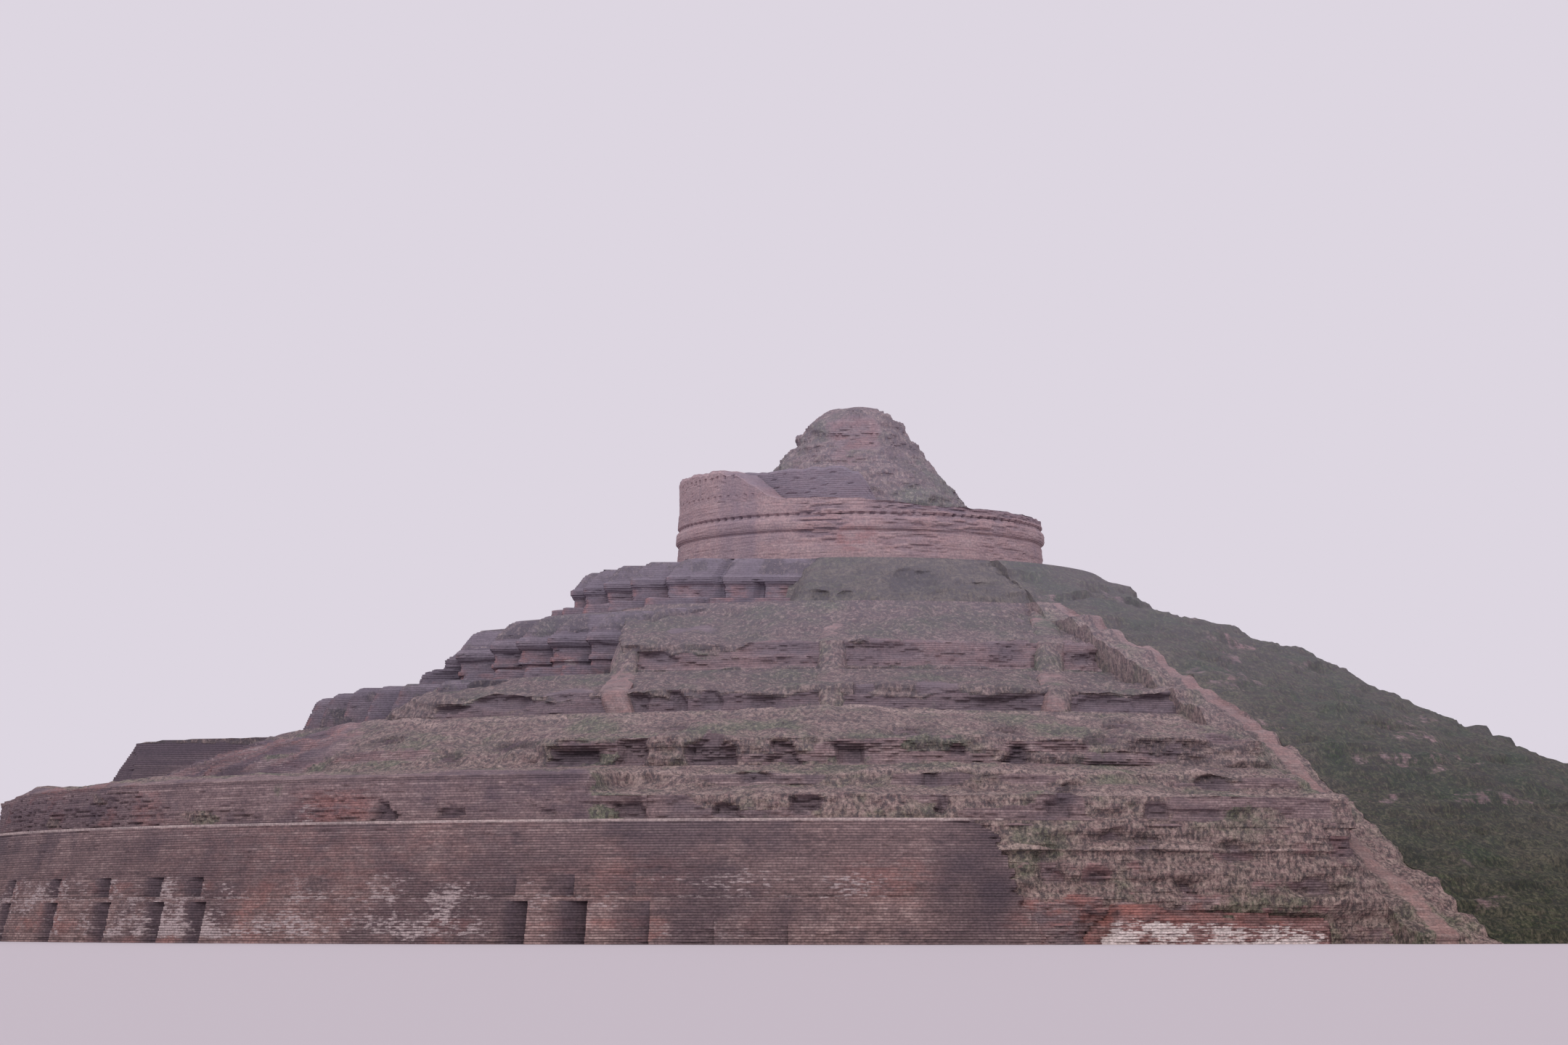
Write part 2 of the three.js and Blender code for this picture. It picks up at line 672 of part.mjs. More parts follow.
add("drum_core", disc(FIFTH_TOP, BROKEN_TOP - SEAM, DRUM.inner - SEAM, DRUM.sides), DARK_BRICK);
add(
  "drum_lower_wall",
  turned(
    [
      [DRUM.inner, FIFTH_TOP],
      [DRUM.radius + 0.14, FIFTH_TOP],
      [DRUM.radius + 0.04, MOULDING_BOTTOM - SEAM],
      [DRUM.inner, MOULDING_BOTTOM - SEAM],
    ],
    DRUM.sides,
  ),
  RED_BRICK,
);
add(
  "drum_moulding",
  turned(
    [
      [DRUM.inner, MOULDING_BOTTOM],
      [DRUM.radius - 0.02, MOULDING_BOTTOM],
      [DRUM.radius + 0.12, MOULDING_BOTTOM + 0.2],
      [DRUM.radius + 0.16, MOULDING_BOTTOM + 0.45],
      [DRUM.radius + 0.12, MOULDING_TOP - 0.2],
      [DRUM.radius - 0.04, MOULDING_TOP - SEAM],
      [DRUM.inner, MOULDING_TOP - SEAM],
    ],
    DRUM.sides,
  ),
  RED_BRICK,
);
add(
  "drum_upper_course",
  turned(
    [
      [DRUM.inner, MOULDING_TOP],
      [DRUM.radius + 0.04, MOULDING_TOP],
      [DRUM.radius, BROKEN_TOP - SEAM],
      [DRUM.inner, BROKEN_TOP - SEAM],
    ],
    DRUM.sides,
  ),
  RED_BRICK,
);

// The outer skin still stands to full height on the left. Its top breaks down to the front and back.
const SKIN_TOPS = [
  [-176, BROKEN_TOP + 0.25],
  [-158, DRUM_TOP],
  [-43, DRUM_TOP],
  [-32, DRUM_TOP - 1.3],
  [-25, BROKEN_TOP + 0.25],
];
const SKIN_BEARINGS = [-176, -167, -158, -145, -132, -118, -104, -90, -77, -64, -53, -43, -32, -25];

// A curved wall that stands on the broken top, between two radii, and as high as a table of bearings says
function standingWall(bearings, inner, outer, tops) {
  const positions = [];
  const faces = [];
  for (const bearing of bearings)
    for (const [radius, z] of [
      [inner, BROKEN_TOP],
      [outer, BROKEN_TOP],
      [outer, readTable(tops, bearing)],
      [inner, readTable(tops, bearing)],
    ]) {
      const p = at(bearing, radius);
      positions.push(p.x * MM_PER_METRE, p.y * MM_PER_METRE, z * MM_PER_METRE);
    }
  const last = (bearings.length - 1) * 4;
  for (let column = 0; column < last; column += 4)
    for (let i = 0; i < 4; i += 1) {
      const a = column + i;
      const b = column + ((i + 1) % 4);
      faces.push(a, a + 4, b + 4, a, b + 4, b);
    }
  faces.push(0, 1, 2, 0, 2, 3);
  faces.push(last, last + 2, last + 1, last, last + 3, last + 2);
  const geometry = new THREE.BufferGeometry();
  geometry.setAttribute("position", new THREE.Float32BufferAttribute(positions, 3));
  geometry.setIndex(faces);
  return solidFrom(geometry);
}

add(
  "drum_standing_skin",
  standingWall(SKIN_BEARINGS, DRUM.inner - CURVE_ALLOWANCE, DRUM.radius - 0.02, SKIN_TOPS).subtract(
    disc(BROKEN_TOP - 1, DRUM_TOP + 1, DRUM.inner, DRUM.sides),
  ),
  RED_BRICK,
);

// Behind the skin stands an older, darker wall round the foot of the summit
const INNER_WALL_TOPS = [
  [-178, BROKEN_TOP + 0.3],
  [-150, INNER_TOP],
  [-13, INNER_TOP],
  [6, BROKEN_TOP + 0.3],
];
const INNER_WALL_BEARINGS = [-178, -164, -150, -130, -110, -90, -70, -50, -36, -24, -13, -4, 6];
const SUMMIT_FOOT = 6.9;
add(
  "drum_inner_wall",
  standingWall(
    INNER_WALL_BEARINGS,
    SUMMIT_FOOT - CURVE_ALLOWANCE,
    DRUM.inner + CURVE_ALLOWANCE,
    INNER_WALL_TOPS,
  )
    .intersect(disc(BROKEN_TOP - 1, DRUM_TOP + 1, DRUM.inner - SEAM, DRUM.sides))
    .subtract(disc(BROKEN_TOP - 1, DRUM_TOP + 1, SUMMIT_FOOT, DRUM.sides)),
  DARK_BRICK,
);

// The summit: the stump of the dome, leaning a little to the left as it rises
const SUMMIT_SIDES = 28;
const SUMMIT_LEVELS = [
  { z: BROKEN_TOP, radius: 6.85, shift: 0 },
  { z: 25.7, radius: 6.15, shift: 0.1 },
  { z: 26.75, radius: 5.5, shift: -0.1 },
  { z: 27.7, radius: 4.8, shift: -0.3 },
  { z: 28.6, radius: 4.05, shift: -0.25 },
  { z: 29.4, radius: 3.5, shift: -0.3 },
  { z: 30.3, radius: 2.9, shift: -0.5 },
  { z: 31.0, radius: 1.95, shift: -0.5 },
  { z: 31.5, radius: 0.6, shift: 0 },
];
const summitOutlines = SUMMIT_LEVELS.map(({ z, radius, shift }) => {
  const bearings = Array.from({ length: SUMMIT_SIDES }, (_, i) => (360 * i) / SUMMIT_SIDES);
  return { z, outline: bearings.map((b) => at(b, radius).add(new THREE.Vector2(shift, 0))) };
});
add("summit_stump", loft(summitOutlines), GREEN_TURF);

export default model;
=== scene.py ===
# %% [markdown]
# # A round terraced brick stupa, half dug out of its mound
#
# The real monument is a solid hill of brick about 114 m across. Its left half has been dug free: a
# base wall, five terraces, a drum and the stump of the dome. Its right half is still a turf slope.
# This script dresses the solids of a 1:10 model of it. The solids give every size and place, and
# Blender adds the courses of brick, the broken edges, the relief of the turf and the finishes.

# %% Open the model's frame
import math
import bmesh
import bpy
import numpy as np
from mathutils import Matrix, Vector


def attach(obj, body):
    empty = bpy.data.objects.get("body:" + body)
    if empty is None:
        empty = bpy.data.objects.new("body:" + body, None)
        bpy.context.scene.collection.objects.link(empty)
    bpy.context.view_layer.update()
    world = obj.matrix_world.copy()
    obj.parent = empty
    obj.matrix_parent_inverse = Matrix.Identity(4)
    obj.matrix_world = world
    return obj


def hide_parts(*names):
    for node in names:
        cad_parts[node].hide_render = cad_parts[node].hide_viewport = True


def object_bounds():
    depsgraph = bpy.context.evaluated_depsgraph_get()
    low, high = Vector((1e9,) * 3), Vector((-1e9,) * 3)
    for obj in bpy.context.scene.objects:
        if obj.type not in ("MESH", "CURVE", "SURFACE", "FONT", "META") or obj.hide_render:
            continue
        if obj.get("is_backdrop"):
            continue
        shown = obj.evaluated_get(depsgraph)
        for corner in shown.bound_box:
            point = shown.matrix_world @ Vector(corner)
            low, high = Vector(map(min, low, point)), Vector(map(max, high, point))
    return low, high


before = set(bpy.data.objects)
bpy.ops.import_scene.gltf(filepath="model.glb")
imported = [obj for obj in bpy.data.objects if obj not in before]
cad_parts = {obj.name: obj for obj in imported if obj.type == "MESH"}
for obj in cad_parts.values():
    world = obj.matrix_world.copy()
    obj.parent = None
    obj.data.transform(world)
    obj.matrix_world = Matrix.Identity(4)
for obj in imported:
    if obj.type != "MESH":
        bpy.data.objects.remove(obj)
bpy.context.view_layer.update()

# %% [markdown]
# ## One scale for everything
#
# The numbers below are metres of the real monument, because bricks, niches and terraces are easier
# to judge at their real size. Only the last step of each mesh multiplies them by one tenth.
# A bearing is an angle round the axis in degrees: 0 is the front, -90 the left side and 90 the right.

# %% Heights and helpers for a round monument
METRE = 0.1
PATH_START, PATH_END = 30.4, 33.0
BASE_TOP, LOWER_TOP, SECOND_TOP = 5.6, 8.4, 11.5
THIRD_TOP, FOURTH_TOP, FIFTH_TOP = 14.0, 18.3, 21.2
# A brick course with its joint, the length of a brick, and how deep each foot is set into the floor
COURSE, BRICK_LENGTH, BURIED = 0.12, 0.3, 0.2
# The radii that distances along each wall are measured at
LOWER_ARC, SECOND_ARC, THIRD_ARC, FOURTH_ARC = 49.7, 42.6, 33, 26
# The hidden back of each facing, in metres from the axis
BASE_BACK, COPING_BACK, LOW_WALL_BACK, LOWER_BACK, SECOND_BACK = 44.0, 49.6, 49.8, 38.5, 29.5
THIRD_BACK, FOURTH_BACK, FIFTH_BACK, TURF_BACK = 21.0, 14.0, 11.5, 11.8


def polar(bearing, radius, height):
    angle = np.radians(bearing)
    x = radius * np.sin(angle)
    y = -radius * np.cos(angle)
    return np.stack(np.broadcast_arrays(x, y, height), axis=-1)


def unit(value):
    """A value held between 0 and 1."""
    return np.clip(value, 0, 1)


def ramp(value, low, high):
    """0 below low, 1 above high, and an eased curve between."""
    t = unit((value - low) / (high - low))
    return t * t * (3 - 2 * t)


def fall(value, low, high):
    """1 below low, 0 above high."""
    return 1 - ramp(value, low, high)


def near(distance, far, close):
    """1 where a distance is below close on either side, and 0 beyond far."""
    return ramp(-np.abs(distance), -far, -close)


def read_off(outline, place):
    """The second number of an outline of pairs, read off at a place along the first."""
    return np.interp(place, *zip(*outline))


def on_front(bearing):
    """1 on the front half, and 0 behind the far left."""
    return ramp(bearing, -88, -80)


def across(bearing, radius):
    """The distance to the right of the axis, seen from the front."""
    return radius * np.sin(np.radians(bearing))


print("terrace floors at", [BASE_TOP, LOWER_TOP, SECOND_TOP, THIRD_TOP, FOURTH_TOP, FIFTH_TOP])

# %% [markdown]
# ## Noise that is the same every time
#
# Ruined brickwork and turf are irregular at every size, from a slump of several metres to one
# missing brick. A sculptor would push the mesh by hand. Here a hash of whole-number places gives
# each place its own value, and smooth blending between places makes hills and hollows of a chosen
# size. There is no random generator, so the result is the same on every run, and two pieces that
# meet at a joint read the same noise there and stay flush.

# %% Hashed values and smooth noise
def hashed(ix, iy, iz, seed):
    """A value from 0 to 1 for each whole-number place."""
    h = (ix * 374761393 + iy * 668265263 + iz * 1442695041 + seed * 1274126177) & 0xFFFFFFFF
    h = ((h ^ (h >> 13)) * 1274126177) & 0xFFFFFFFF
    return ((h ^ (h >> 16)) & 0xFFFFFF) / float(0xFFFFFF)


def noise(points, size, seed=0):
    """Smooth noise from -1 to 1. The size of its hills is in metres, one number or one per axis."""
    scaled = points / np.asarray(size, float)
    base = np.floor(scaled)
    ease = scaled - base
    ease = ease * ease * (3 - 2 * ease)
    corner = base.astype(np.int64)
    total = 0
    for dx in (0, 1):
        for dy in (0, 1):
            for dz in (0, 1):
                share = np.abs(1 - dx - ease[..., 0])
                share = share * np.abs(1 - dy - ease[..., 1]) * np.abs(1 - dz - ease[..., 2])
                place = (corner[..., 0] + dx, corner[..., 1] + dy, corner[..., 2] + dz)
                total = total + share * hashed(*place, seed)
    return 2 * total - 1


sample = noise(np.random.default_rng(1).uniform(-50, 50, (4000, 3)), 3.0)
print("noise spread:", round(float(sample.std()), 3), "range:", round(float(np.ptp(sample)), 2))

# %% [markdown]
# ## Rows of brick
#
# A brick wall is a stack of level courses. Modelling single bricks would take millions of faces, so
# each course gets two rows of points, one near its bottom and one near its top, at the same radius.
# Between two courses the surface steps back, as battered and ruined brickwork does. Where turf
# covers the brick, the same rows lie on a smooth slope instead.

# %% Lay out the rows of a wall
def rows_of(*bands):
    """Rows from the ground up. A band is (from, to, thickness, laid); a laid band has courses."""
    middles, halves, laid = [], [], []
    for low, high, thickness, is_laid in bands:
        count = max(1, round((high - low) / thickness))
        step = (high - low) / count
        for i in range(count):
            for side in (-1, 1) if is_laid else (0,):
                middles.append(low + (i + 0.5) * step)
                halves.append(side * step / 2)
                laid.append(float(is_laid))
    return np.array(middles), np.array(halves), np.array(laid)


def profile(stations, bearing, height):
    """The radius at a bearing and height, eased from one station's profile to the next."""
    last, outline = stations[0]
    radius = read_off(outline, height)
    for where, outline in stations[1:]:
        here = read_off(outline, height)
        radius = radius + (here - radius) * ramp(bearing, last, where)
        last = where
    return radius


def spots(x, z, places, soft=0.35):
    """How much each point lies in one of several soft, rounded boxes. A box is (x, z, half width,
    half height), and may end with its strength."""
    inside = 0 * (x + z)
    for px, pz, width, height, *amount in places:
        reach = (np.abs((x - px) / width) ** 3 + np.abs((z - pz) / height) ** 3) ** (1 / 3)
        inside = np.maximum(inside, (amount[0] if amount else 1.0) * ramp(-reach, -1 - soft, -1 + soft))
    return inside


def frayed(x, z, place, amount=0.35):
    """Coordinates shaken by noise, so that a box drawn with them gets a ragged outline."""
    return (x + amount * noise(place, (0.9, 0.9, 0.5), 11) + 0 * z,
            z + 0.5 * amount * noise(place, (0.9, 0.9, 0.5), 12) + 0 * x)


test_rows = rows_of((0, 1.2, COURSE, True))
print("a wall of 1.2 m has", len(test_rows[0]), "rows")

# %% [markdown]
# ## From rows to a closed piece
#
# Every piece of the real monument is solid, so every mesh here is closed: an outer skin, a flat top,
# a hidden back and two ends. Each column of points is one closed loop in a plane through the axis,
# and the columns are joined like the segments of an orange. A full ring joins its last column to
# its first. The finish fields, such as how much turf or salt lies at a point, are kept on the
# points, and the materials read them.

# %% Join columns of points into a closed mesh
FIELDS = ("along", "turf", "salt", "fresh", "stain", "parched")
# Points closer than the first are joined, and edges shorter than the second taken out
SAME_PLACE, NO_LENGTH = 1e-5, 1e-6
made_pieces = {}


def carried_over(fields, shape, before, after):
    """The finish fields are known on the outer skin. The hidden points of each column, before and
    after it, take them from the named rows."""
    order = [*before, *range(shape[1]), *after]
    return {key: np.broadcast_to(value, shape)[:, order] for key, value in fields.items()}


def closed_piece(name, loops, fields, wrap=False):
    """Join loops of points, one for each column, into a mesh with its finish fields."""
    columns, rows, _ = loops.shape
    points = (loops * METRE).reshape(-1, 3)
    first = np.arange(columns if wrap else columns - 1)[:, None] * rows
    following = ((np.arange(columns if wrap else columns - 1) + 1) % columns)[:, None] * rows
    here = np.arange(rows)[None, :]
    up = (here + 1) % rows
    quads = np.stack([first + here, following + here, following + up, first + up], -1).reshape(-1, 4)
    faces = quads.tolist()
    if not wrap:
        faces.append(list(range(rows)))
        faces.append([(columns - 1) * rows + j for j in reversed(range(rows))])
    mesh = bpy.data.meshes.new(name)
    mesh.from_pydata(points.tolist(), [], faces)
    for field in FIELDS:
        values = np.broadcast_to(fields.get(field, 0.0), (columns, rows))
        mesh.attributes.new(field, "FLOAT", "POINT").data.foreach_set("value", values.ravel())
    work = bmesh.new()
    work.from_mesh(mesh)
    bmesh.ops.remove_doubles(work, verts=work.verts, dist=SAME_PLACE)
    bmesh.ops.dissolve_degenerate(work, edges=work.edges, dist=NO_LENGTH)
    work.to_mesh(mesh)
    work.free()
    piece = bpy.data.objects.new(name, mesh)
    bpy.context.collection.objects.link(piece)
    made_pieces[name] = sum(len(p.vertices) - 2 for p in mesh.polygons)
    return piece


def settle(piece, finish, *nodes):
    """The piece rides on the monument, takes a finish, and stands for its solids."""
    piece.data.materials.append(finishes[finish])
    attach(piece, "root")
    if nodes:
        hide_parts(*nodes)
    print(f"{piece.name}: {made_pieces[piece.name]} triangles, {finish}")

# %% [markdown]
# ## The surface itself
#
# One function turns a description of a stretch of the monument into relief. The description says,
# for each bearing and height, how far out the surface lies, how much of it is laid brick, how rough
# it is, and what lies on it. Laid brick moves in and out level by level and brick by brick, with a
# brick missing here and there. Turf and rubble move along the slope's own normal, so that a flat
# terrace floor gets humps and not ripples.

# %% Give a stretch its relief
def relief_of(bearing, rows, shape, bottom, top, arc_radius):
    middle, half, laid = (row[None, :] for row in rows)
    middle = middle + 0 * bearing
    at_middle = shape(bearing, middle)
    brick = at_middle["brick"] * laid
    height = middle + half * (1 - 0.3 * (1 - brick))
    radius = brick * at_middle["radius"] + (1 - brick) * shape(bearing, height)["radius"]
    slope = (shape(bearing, height + 0.03)["radius"] - shape(bearing, height - 0.03)["radius"]) / 0.06
    lean = np.clip(-slope, 0, 30) * (1 - brick)
    outward = 1 / np.sqrt(1 + lean * lean)
    upward = lean * outward

    level = brick * middle + (1 - brick) * height
    place = polar(bearing, radius, level)
    rough = at_middle["rough"]
    # Slumps of several metres, ledges in level bands, and tufts of grass
    bump = rough * (0.5 * noise(place, (6, 6, 3), 1) + 0.32 * noise(place, (2.1, 2.1, 1.0), 2))
    ledges = 0.2 * noise(place, (0.8, 0.8, 0.45), 3) + 0.5 * noise(place, (3.2, 3.2, 0.4), 17)
    bump = bump + rough * ledges
    tufts = 0.11 * noise(place, (0.5, 0.5, 0.35), 4) + 0.13 * noise(place, (2.4, 2.4, 0.4), 15)
    tufts = tufts + 0.07 * noise(place, (0.27, 0.27, 0.2), 16)
    bump = bump + at_middle["turf"] * tufts

    # Every laid brick has its own place. Some sit a little out or in, and a few are missing.
    course = np.round(middle * 100).astype(np.int64)
    along = np.radians(bearing) * arc_radius
    column = np.floor(along / BRICK_LENGTH + 0.5 * (course % 2)).astype(np.int64)
    wave = noise(np.stack([along / 1.6, course * 7.31, 0 * along], -1), 1.0, 5)
    chance = hashed(column, course, 0, 6)
    loose = unit(rough / 0.4)
    jitter = (0.02 + 0.07 * loose) * wave + (0.02 + 0.15 * loose) * (chance - 0.5)
    jitter = jitter - (0.03 + 0.4 * rough) * (chance > 0.985 - 0.09 * loose)
    bump = bump + brick * jitter

    # The first and last rows stay calm, so that pieces meet without a step
    ends = np.arange(height.shape[1])
    calm = unit(np.minimum(ends, ends[::-1]) / 3.0)[None, :]
    radius = radius + bump * outward * np.maximum(calm, brick)
    height = np.clip(height + bump * upward * calm, bottom + 0.03, top + 0.3)
    return radius, height, at_middle, along


LIFT = 0.03


def stretch(name, bearing, rows, shape, bottom, top, inner, arc_radius, wrap=False, shift=0.0, lift=LIFT):
    """A closed piece between bearings. The bearings are one per column, or one per point. Its flat
    top is lifted a little, so that it doesn't share a plane with the hearting."""
    if bearing.ndim == 1:
        bearing = bearing[:, None]
    bearing = bearing + 0 * rows[0][None, :]
    radius, height, about, along = relief_of(bearing, rows, shape, bottom, top, arc_radius)
    low = polar(bearing[:, :1], shape(bearing[:, :1], bottom + 0 * bearing[:, :1])["radius"], bottom)
    high_radius = shape(bearing[:, -1:], top + 0 * bearing[:, -1:])["radius"]
    high = polar(bearing[:, -1:], high_radius, top + lift)
    back_top = polar(bearing[:, -1:], inner, top + lift)
    back_low = polar(bearing[:, :1], inner, bottom)
    loops = np.concatenate([low, polar(bearing, radius, height), high, back_top, back_low], axis=1)
    if "ceiling" in about:
        loops[..., 2] = np.minimum(loops[..., 2], about["ceiling"][:, :1])
    loops[..., 0] += shift(loops[..., 2]) if callable(shift) else shift
    fields = {"along": along, **{k: about[k] for k in FIELDS[1:] if k in about}}
    return closed_piece(name, loops, carried_over(fields, radius.shape, [0], [-1, -1, 0]), wrap)


def lay(node, suffix, finish, *build, **more):
    """A stretch that stands for a node's solid, with its finish."""
    settle(stretch(f"{node}_{suffix}", *build, **more), finish, node)


def bearings_from(start, end, spacing, radius, extra=()):
    """Column bearings no further apart than a spacing, with extra ones where an edge is sharp."""
    step = math.degrees(spacing / radius)
    inner = np.arange(math.ceil(start / step + 0.2), math.floor(end / step - 0.2) + 1) * step
    sharp = [b for b in extra if start < b < end]
    return np.unique(np.round(np.concatenate([[start, end], inner, sharp]), 5))


print("relief is ready")

# %% [markdown]
# # Finishes
#
# ## Effects that several finishes share
#
# Old brick is never one colour. Each brick fired to its own tone, joints are darker, black lichen
# and rain runs spread over whole walls, salt blooms white near the ground, and turf creeps over
# every ledge. Each of these is one node group with named sockets, so that a wall and the rubble
# beside it share the same effect with different amounts.

# %% Helpers for building node trees
def put(tree, kind, feeds=None, **settings):
    made = tree.nodes.new(kind)
    for key, value in settings.items():
        setattr(made, key, value)
    for key, value in (feeds or {}).items():
        if isinstance(value, bpy.types.NodeSocket):
            tree.links.new(value, made.inputs[key])
        else:
            made.inputs[key].default_value = value
    return made


def sums(tree, operation, *values):
    feeds = dict(enumerate(values))
    return put(tree, "ShaderNodeMath", feeds, operation=operation).outputs[0]


def times(tree, first, second):
    return sums(tree, "MULTIPLY", first, second)


def times_plus(tree, first, second, third):
    return sums(tree, "MULTIPLY_ADD", first, second, third)


def vector(tree, x, y, z=0.0):
    return put(tree, "ShaderNodeCombineXYZ", {0: x, 1: y, 2: z}).outputs[0]


def spread(tree, value, low, high, to_low=0.0, to_high=1.0):
    """A value from low to high becomes to_low to to_high, eased and held at both ends."""
    feeds = {"Value": value, "From Min": low, "From Max": high, "To Min": to_low, "To Max": to_high}
    made = put(tree, "ShaderNodeMapRange", feeds, interpolation_type="SMOOTHSTEP")
    return made.outputs[0]


def blend(tree, share, first, second, kind="MIX"):
    made = put(tree, "ShaderNodeMix", data_type="RGBA", blend_type=kind)
    for socket, value in ((made.inputs[0], share), (made.inputs[6], first), (made.inputs[7], second)):
        if isinstance(value, bpy.types.NodeSocket):
            tree.links.new(value, socket)
        else:
            socket.default_value = value
    return made.outputs[2]


def cloud_of(tree, place, scale, detail, roughness=0.5):
    """Cloudy noise from 0 to 1."""
    feeds = {"Vector": place, "Scale": scale, "Detail": detail, "Roughness": roughness}
    return put(tree, "ShaderNodeTexNoise", feeds).outputs[0]


def pulled_out(tree, place, factors):
    """A place with each axis multiplied, which squeezes or draws out what is made from it."""
    return put(tree, "ShaderNodeVectorMath", {0: place, 1: factors}, operation="MULTIPLY").outputs[0]


def effect(name, inputs, outputs):
    """A new node group with its named sockets, and its input and output nodes."""
    group = bpy.data.node_groups.new(name, "ShaderNodeTree")
    for label, kind, value in inputs:
        socket = group.interface.new_socket(name=label, in_out="INPUT", socket_type=kind)
        if value is not None:
            socket.default_value = value
    for label, kind in outputs:
        group.interface.new_socket(name=label, in_out="OUTPUT", socket_type=kind)
    return group, group.nodes.new("NodeGroupInput").outputs, group.nodes.new("NodeGroupOutput").inputs


def use(tree, group, **feeds):
    made = put(tree, "ShaderNodeGroup", node_tree=group)
    for key, value in feeds.items():
        socket = made.inputs[key.replace("_", " ")]
        if isinstance(value, bpy.types.NodeSocket):
            tree.links.new(value, socket)
        else:
            socket.default_value = value
    return made.outputs


FLOAT, VECTOR = "NodeSocketFloat", "NodeSocketVector"
print("node helpers are ready")

# %% [markdown]
# ### Brick courses
#
# Blender's own brick texture would need flat coordinates. These walls are round and stepped, so the
# distance along each wall is kept on its points, and the courses are counted from it and from the
# height. Whole-number parts give every brick its own tone, and the remainders give the joints.

# %% Node group: brick courses
courses, into, out = effect(
    "Brick courses",
    [("Along", FLOAT, 0), ("Height", FLOAT, 0), ("Course", FLOAT, COURSE), ("Length", FLOAT, BRICK_LENGTH)],
    [("Joint", FLOAT), ("Brick Tone", FLOAT), ("Course Tone", FLOAT), ("Streak", FLOAT)],
)
level = sums(courses, "DIVIDE", into["Height"], into["Course"])
row = sums(courses, "FLOOR", level)
shifted = times_plus(courses, row, 0.5, sums(courses, "DIVIDE", into["Along"], into["Length"]))
column = sums(courses, "FLOOR", shifted)
bed = sums(courses, "PINGPONG", level, 0.5)
upright = sums(courses, "PINGPONG", shifted, 0.5)
bed_joint = spread(courses, bed, 0.0, 0.2, 1.0, 0.0)
upright_joint = spread(courses, upright, 0.0, 0.05, 0.12, 0.0)
streak_across = times(courses, into["Along"], 1.5)
streak_row = times(courses, row, 7.3)
streak_place = vector(courses, streak_across, streak_row)
streak = cloud_of(courses, streak_place, 1.0, 4.0, 0.65)
streak = spread(courses, streak, 0.32, 0.68)
courses.links.new(streak, out["Streak"])
joint_depth = times_plus(courses, streak, 0.5, 0.5)
joint = times(courses, sums(courses, "MAXIMUM", bed_joint, upright_joint), joint_depth)
courses.links.new(joint, out["Joint"])
place = vector(courses, column, row)
tone = put(courses, "ShaderNodeTexWhiteNoise", {"Vector": place}, noise_dimensions="2D").outputs[0]
courses.links.new(tone, out["Brick Tone"])
course_tone = put(courses, "ShaderNodeTexWhiteNoise", {"W": row}, noise_dimensions="1D").outputs[0]
courses.links.new(course_tone, out["Course Tone"])
print("brick courses:", len(courses.nodes), "nodes")

# %% [markdown]
# ### Patches, streaks and grain
#
# Lichen, damp and bare brick come in patches. One group makes patches of any size and flatness.
# Salt and broken edges follow the courses, so they are patches pulled out along the wall. Rain
# marks run down, so they are pulled out upright. Fine grain breaks up every colour and roughness.

# %% Node groups: patches, salt, run marks and grain
patches, into, out = effect(
    "Patches",
    [("Place", VECTOR, None), ("Size", FLOAT, 3), ("Flatness", FLOAT, 1), ("Cover", FLOAT, 0.5),
     ("Softness", FLOAT, 0.1)],
    [("Mask", FLOAT), ("Value", FLOAT)],
)
flat = vector(patches, 1.0, 1.0, into["Flatness"])
pulled = pulled_out(patches, into["Place"], flat)
shrink = sums(patches, "DIVIDE", 1.0, into["Size"])
cloud = cloud_of(patches, pulled, shrink, 5.0, 0.6)
edge = sums(patches, "SUBTRACT", 1.0, into["Cover"])
low = sums(patches, "SUBTRACT", edge, into["Softness"])
high = sums(patches, "ADD", edge, into["Softness"])
centred = spread(patches, cloud, 0.28, 0.72)
patches.links.new(spread(patches, centred, low, high), out["Mask"])
patches.links.new(centred, out["Value"])

salt_bloom, into, out = effect(
    "Salt bloom",
    [("Place", VECTOR, None), ("Along", FLOAT, 0), ("Height", FLOAT, 0), ("Brick Tone", FLOAT, 0.5),
     ("Amount", FLOAT, 0)],
    [("Mask", FLOAT)],
)
streak_place = vector(salt_bloom, into["Along"], into["Height"])
thin = pulled_out(salt_bloom, streak_place, (2.0, 9.0, 1.0))
streaks = cloud_of(salt_bloom, thin, 1.0, 4.0, 0.62)
broad = cloud_of(salt_bloom, into["Place"], 0.5, 5.0, 0.6)
mixed = times(salt_bloom, spread(salt_bloom, streaks, 0.3, 0.7), 0.42)
mixed = times_plus(salt_bloom, spread(salt_bloom, broad, 0.3, 0.7), 0.4, mixed)
mixed = times_plus(salt_bloom, into["Brick Tone"], 0.2, mixed)
limit = times_plus(salt_bloom, into["Amount"], -0.62, 0.92)
salt_bloom.links.new(
    spread(salt_bloom, mixed, limit, sums(salt_bloom, "ADD", limit, 0.26)), out["Mask"]
)

run_marks, into, out = effect(
    "Run marks",
    [("Along", FLOAT, 0), ("Height", FLOAT, 0), ("Spacing", FLOAT, 1.0), ("Strength", FLOAT, 0.5)],
    [("Mask", FLOAT)],
)
narrow = sums(run_marks, "DIVIDE", into["Along"], into["Spacing"])
drawn = times(run_marks, into["Height"], 0.16)
run_place = vector(run_marks, narrow, drawn)
runs = cloud_of(run_marks, run_place, 1.0, 4.0, 0.65)
run_marks.links.new(
    times(run_marks, spread(run_marks, runs, 0.48, 0.7), into["Strength"]), out["Mask"]
)

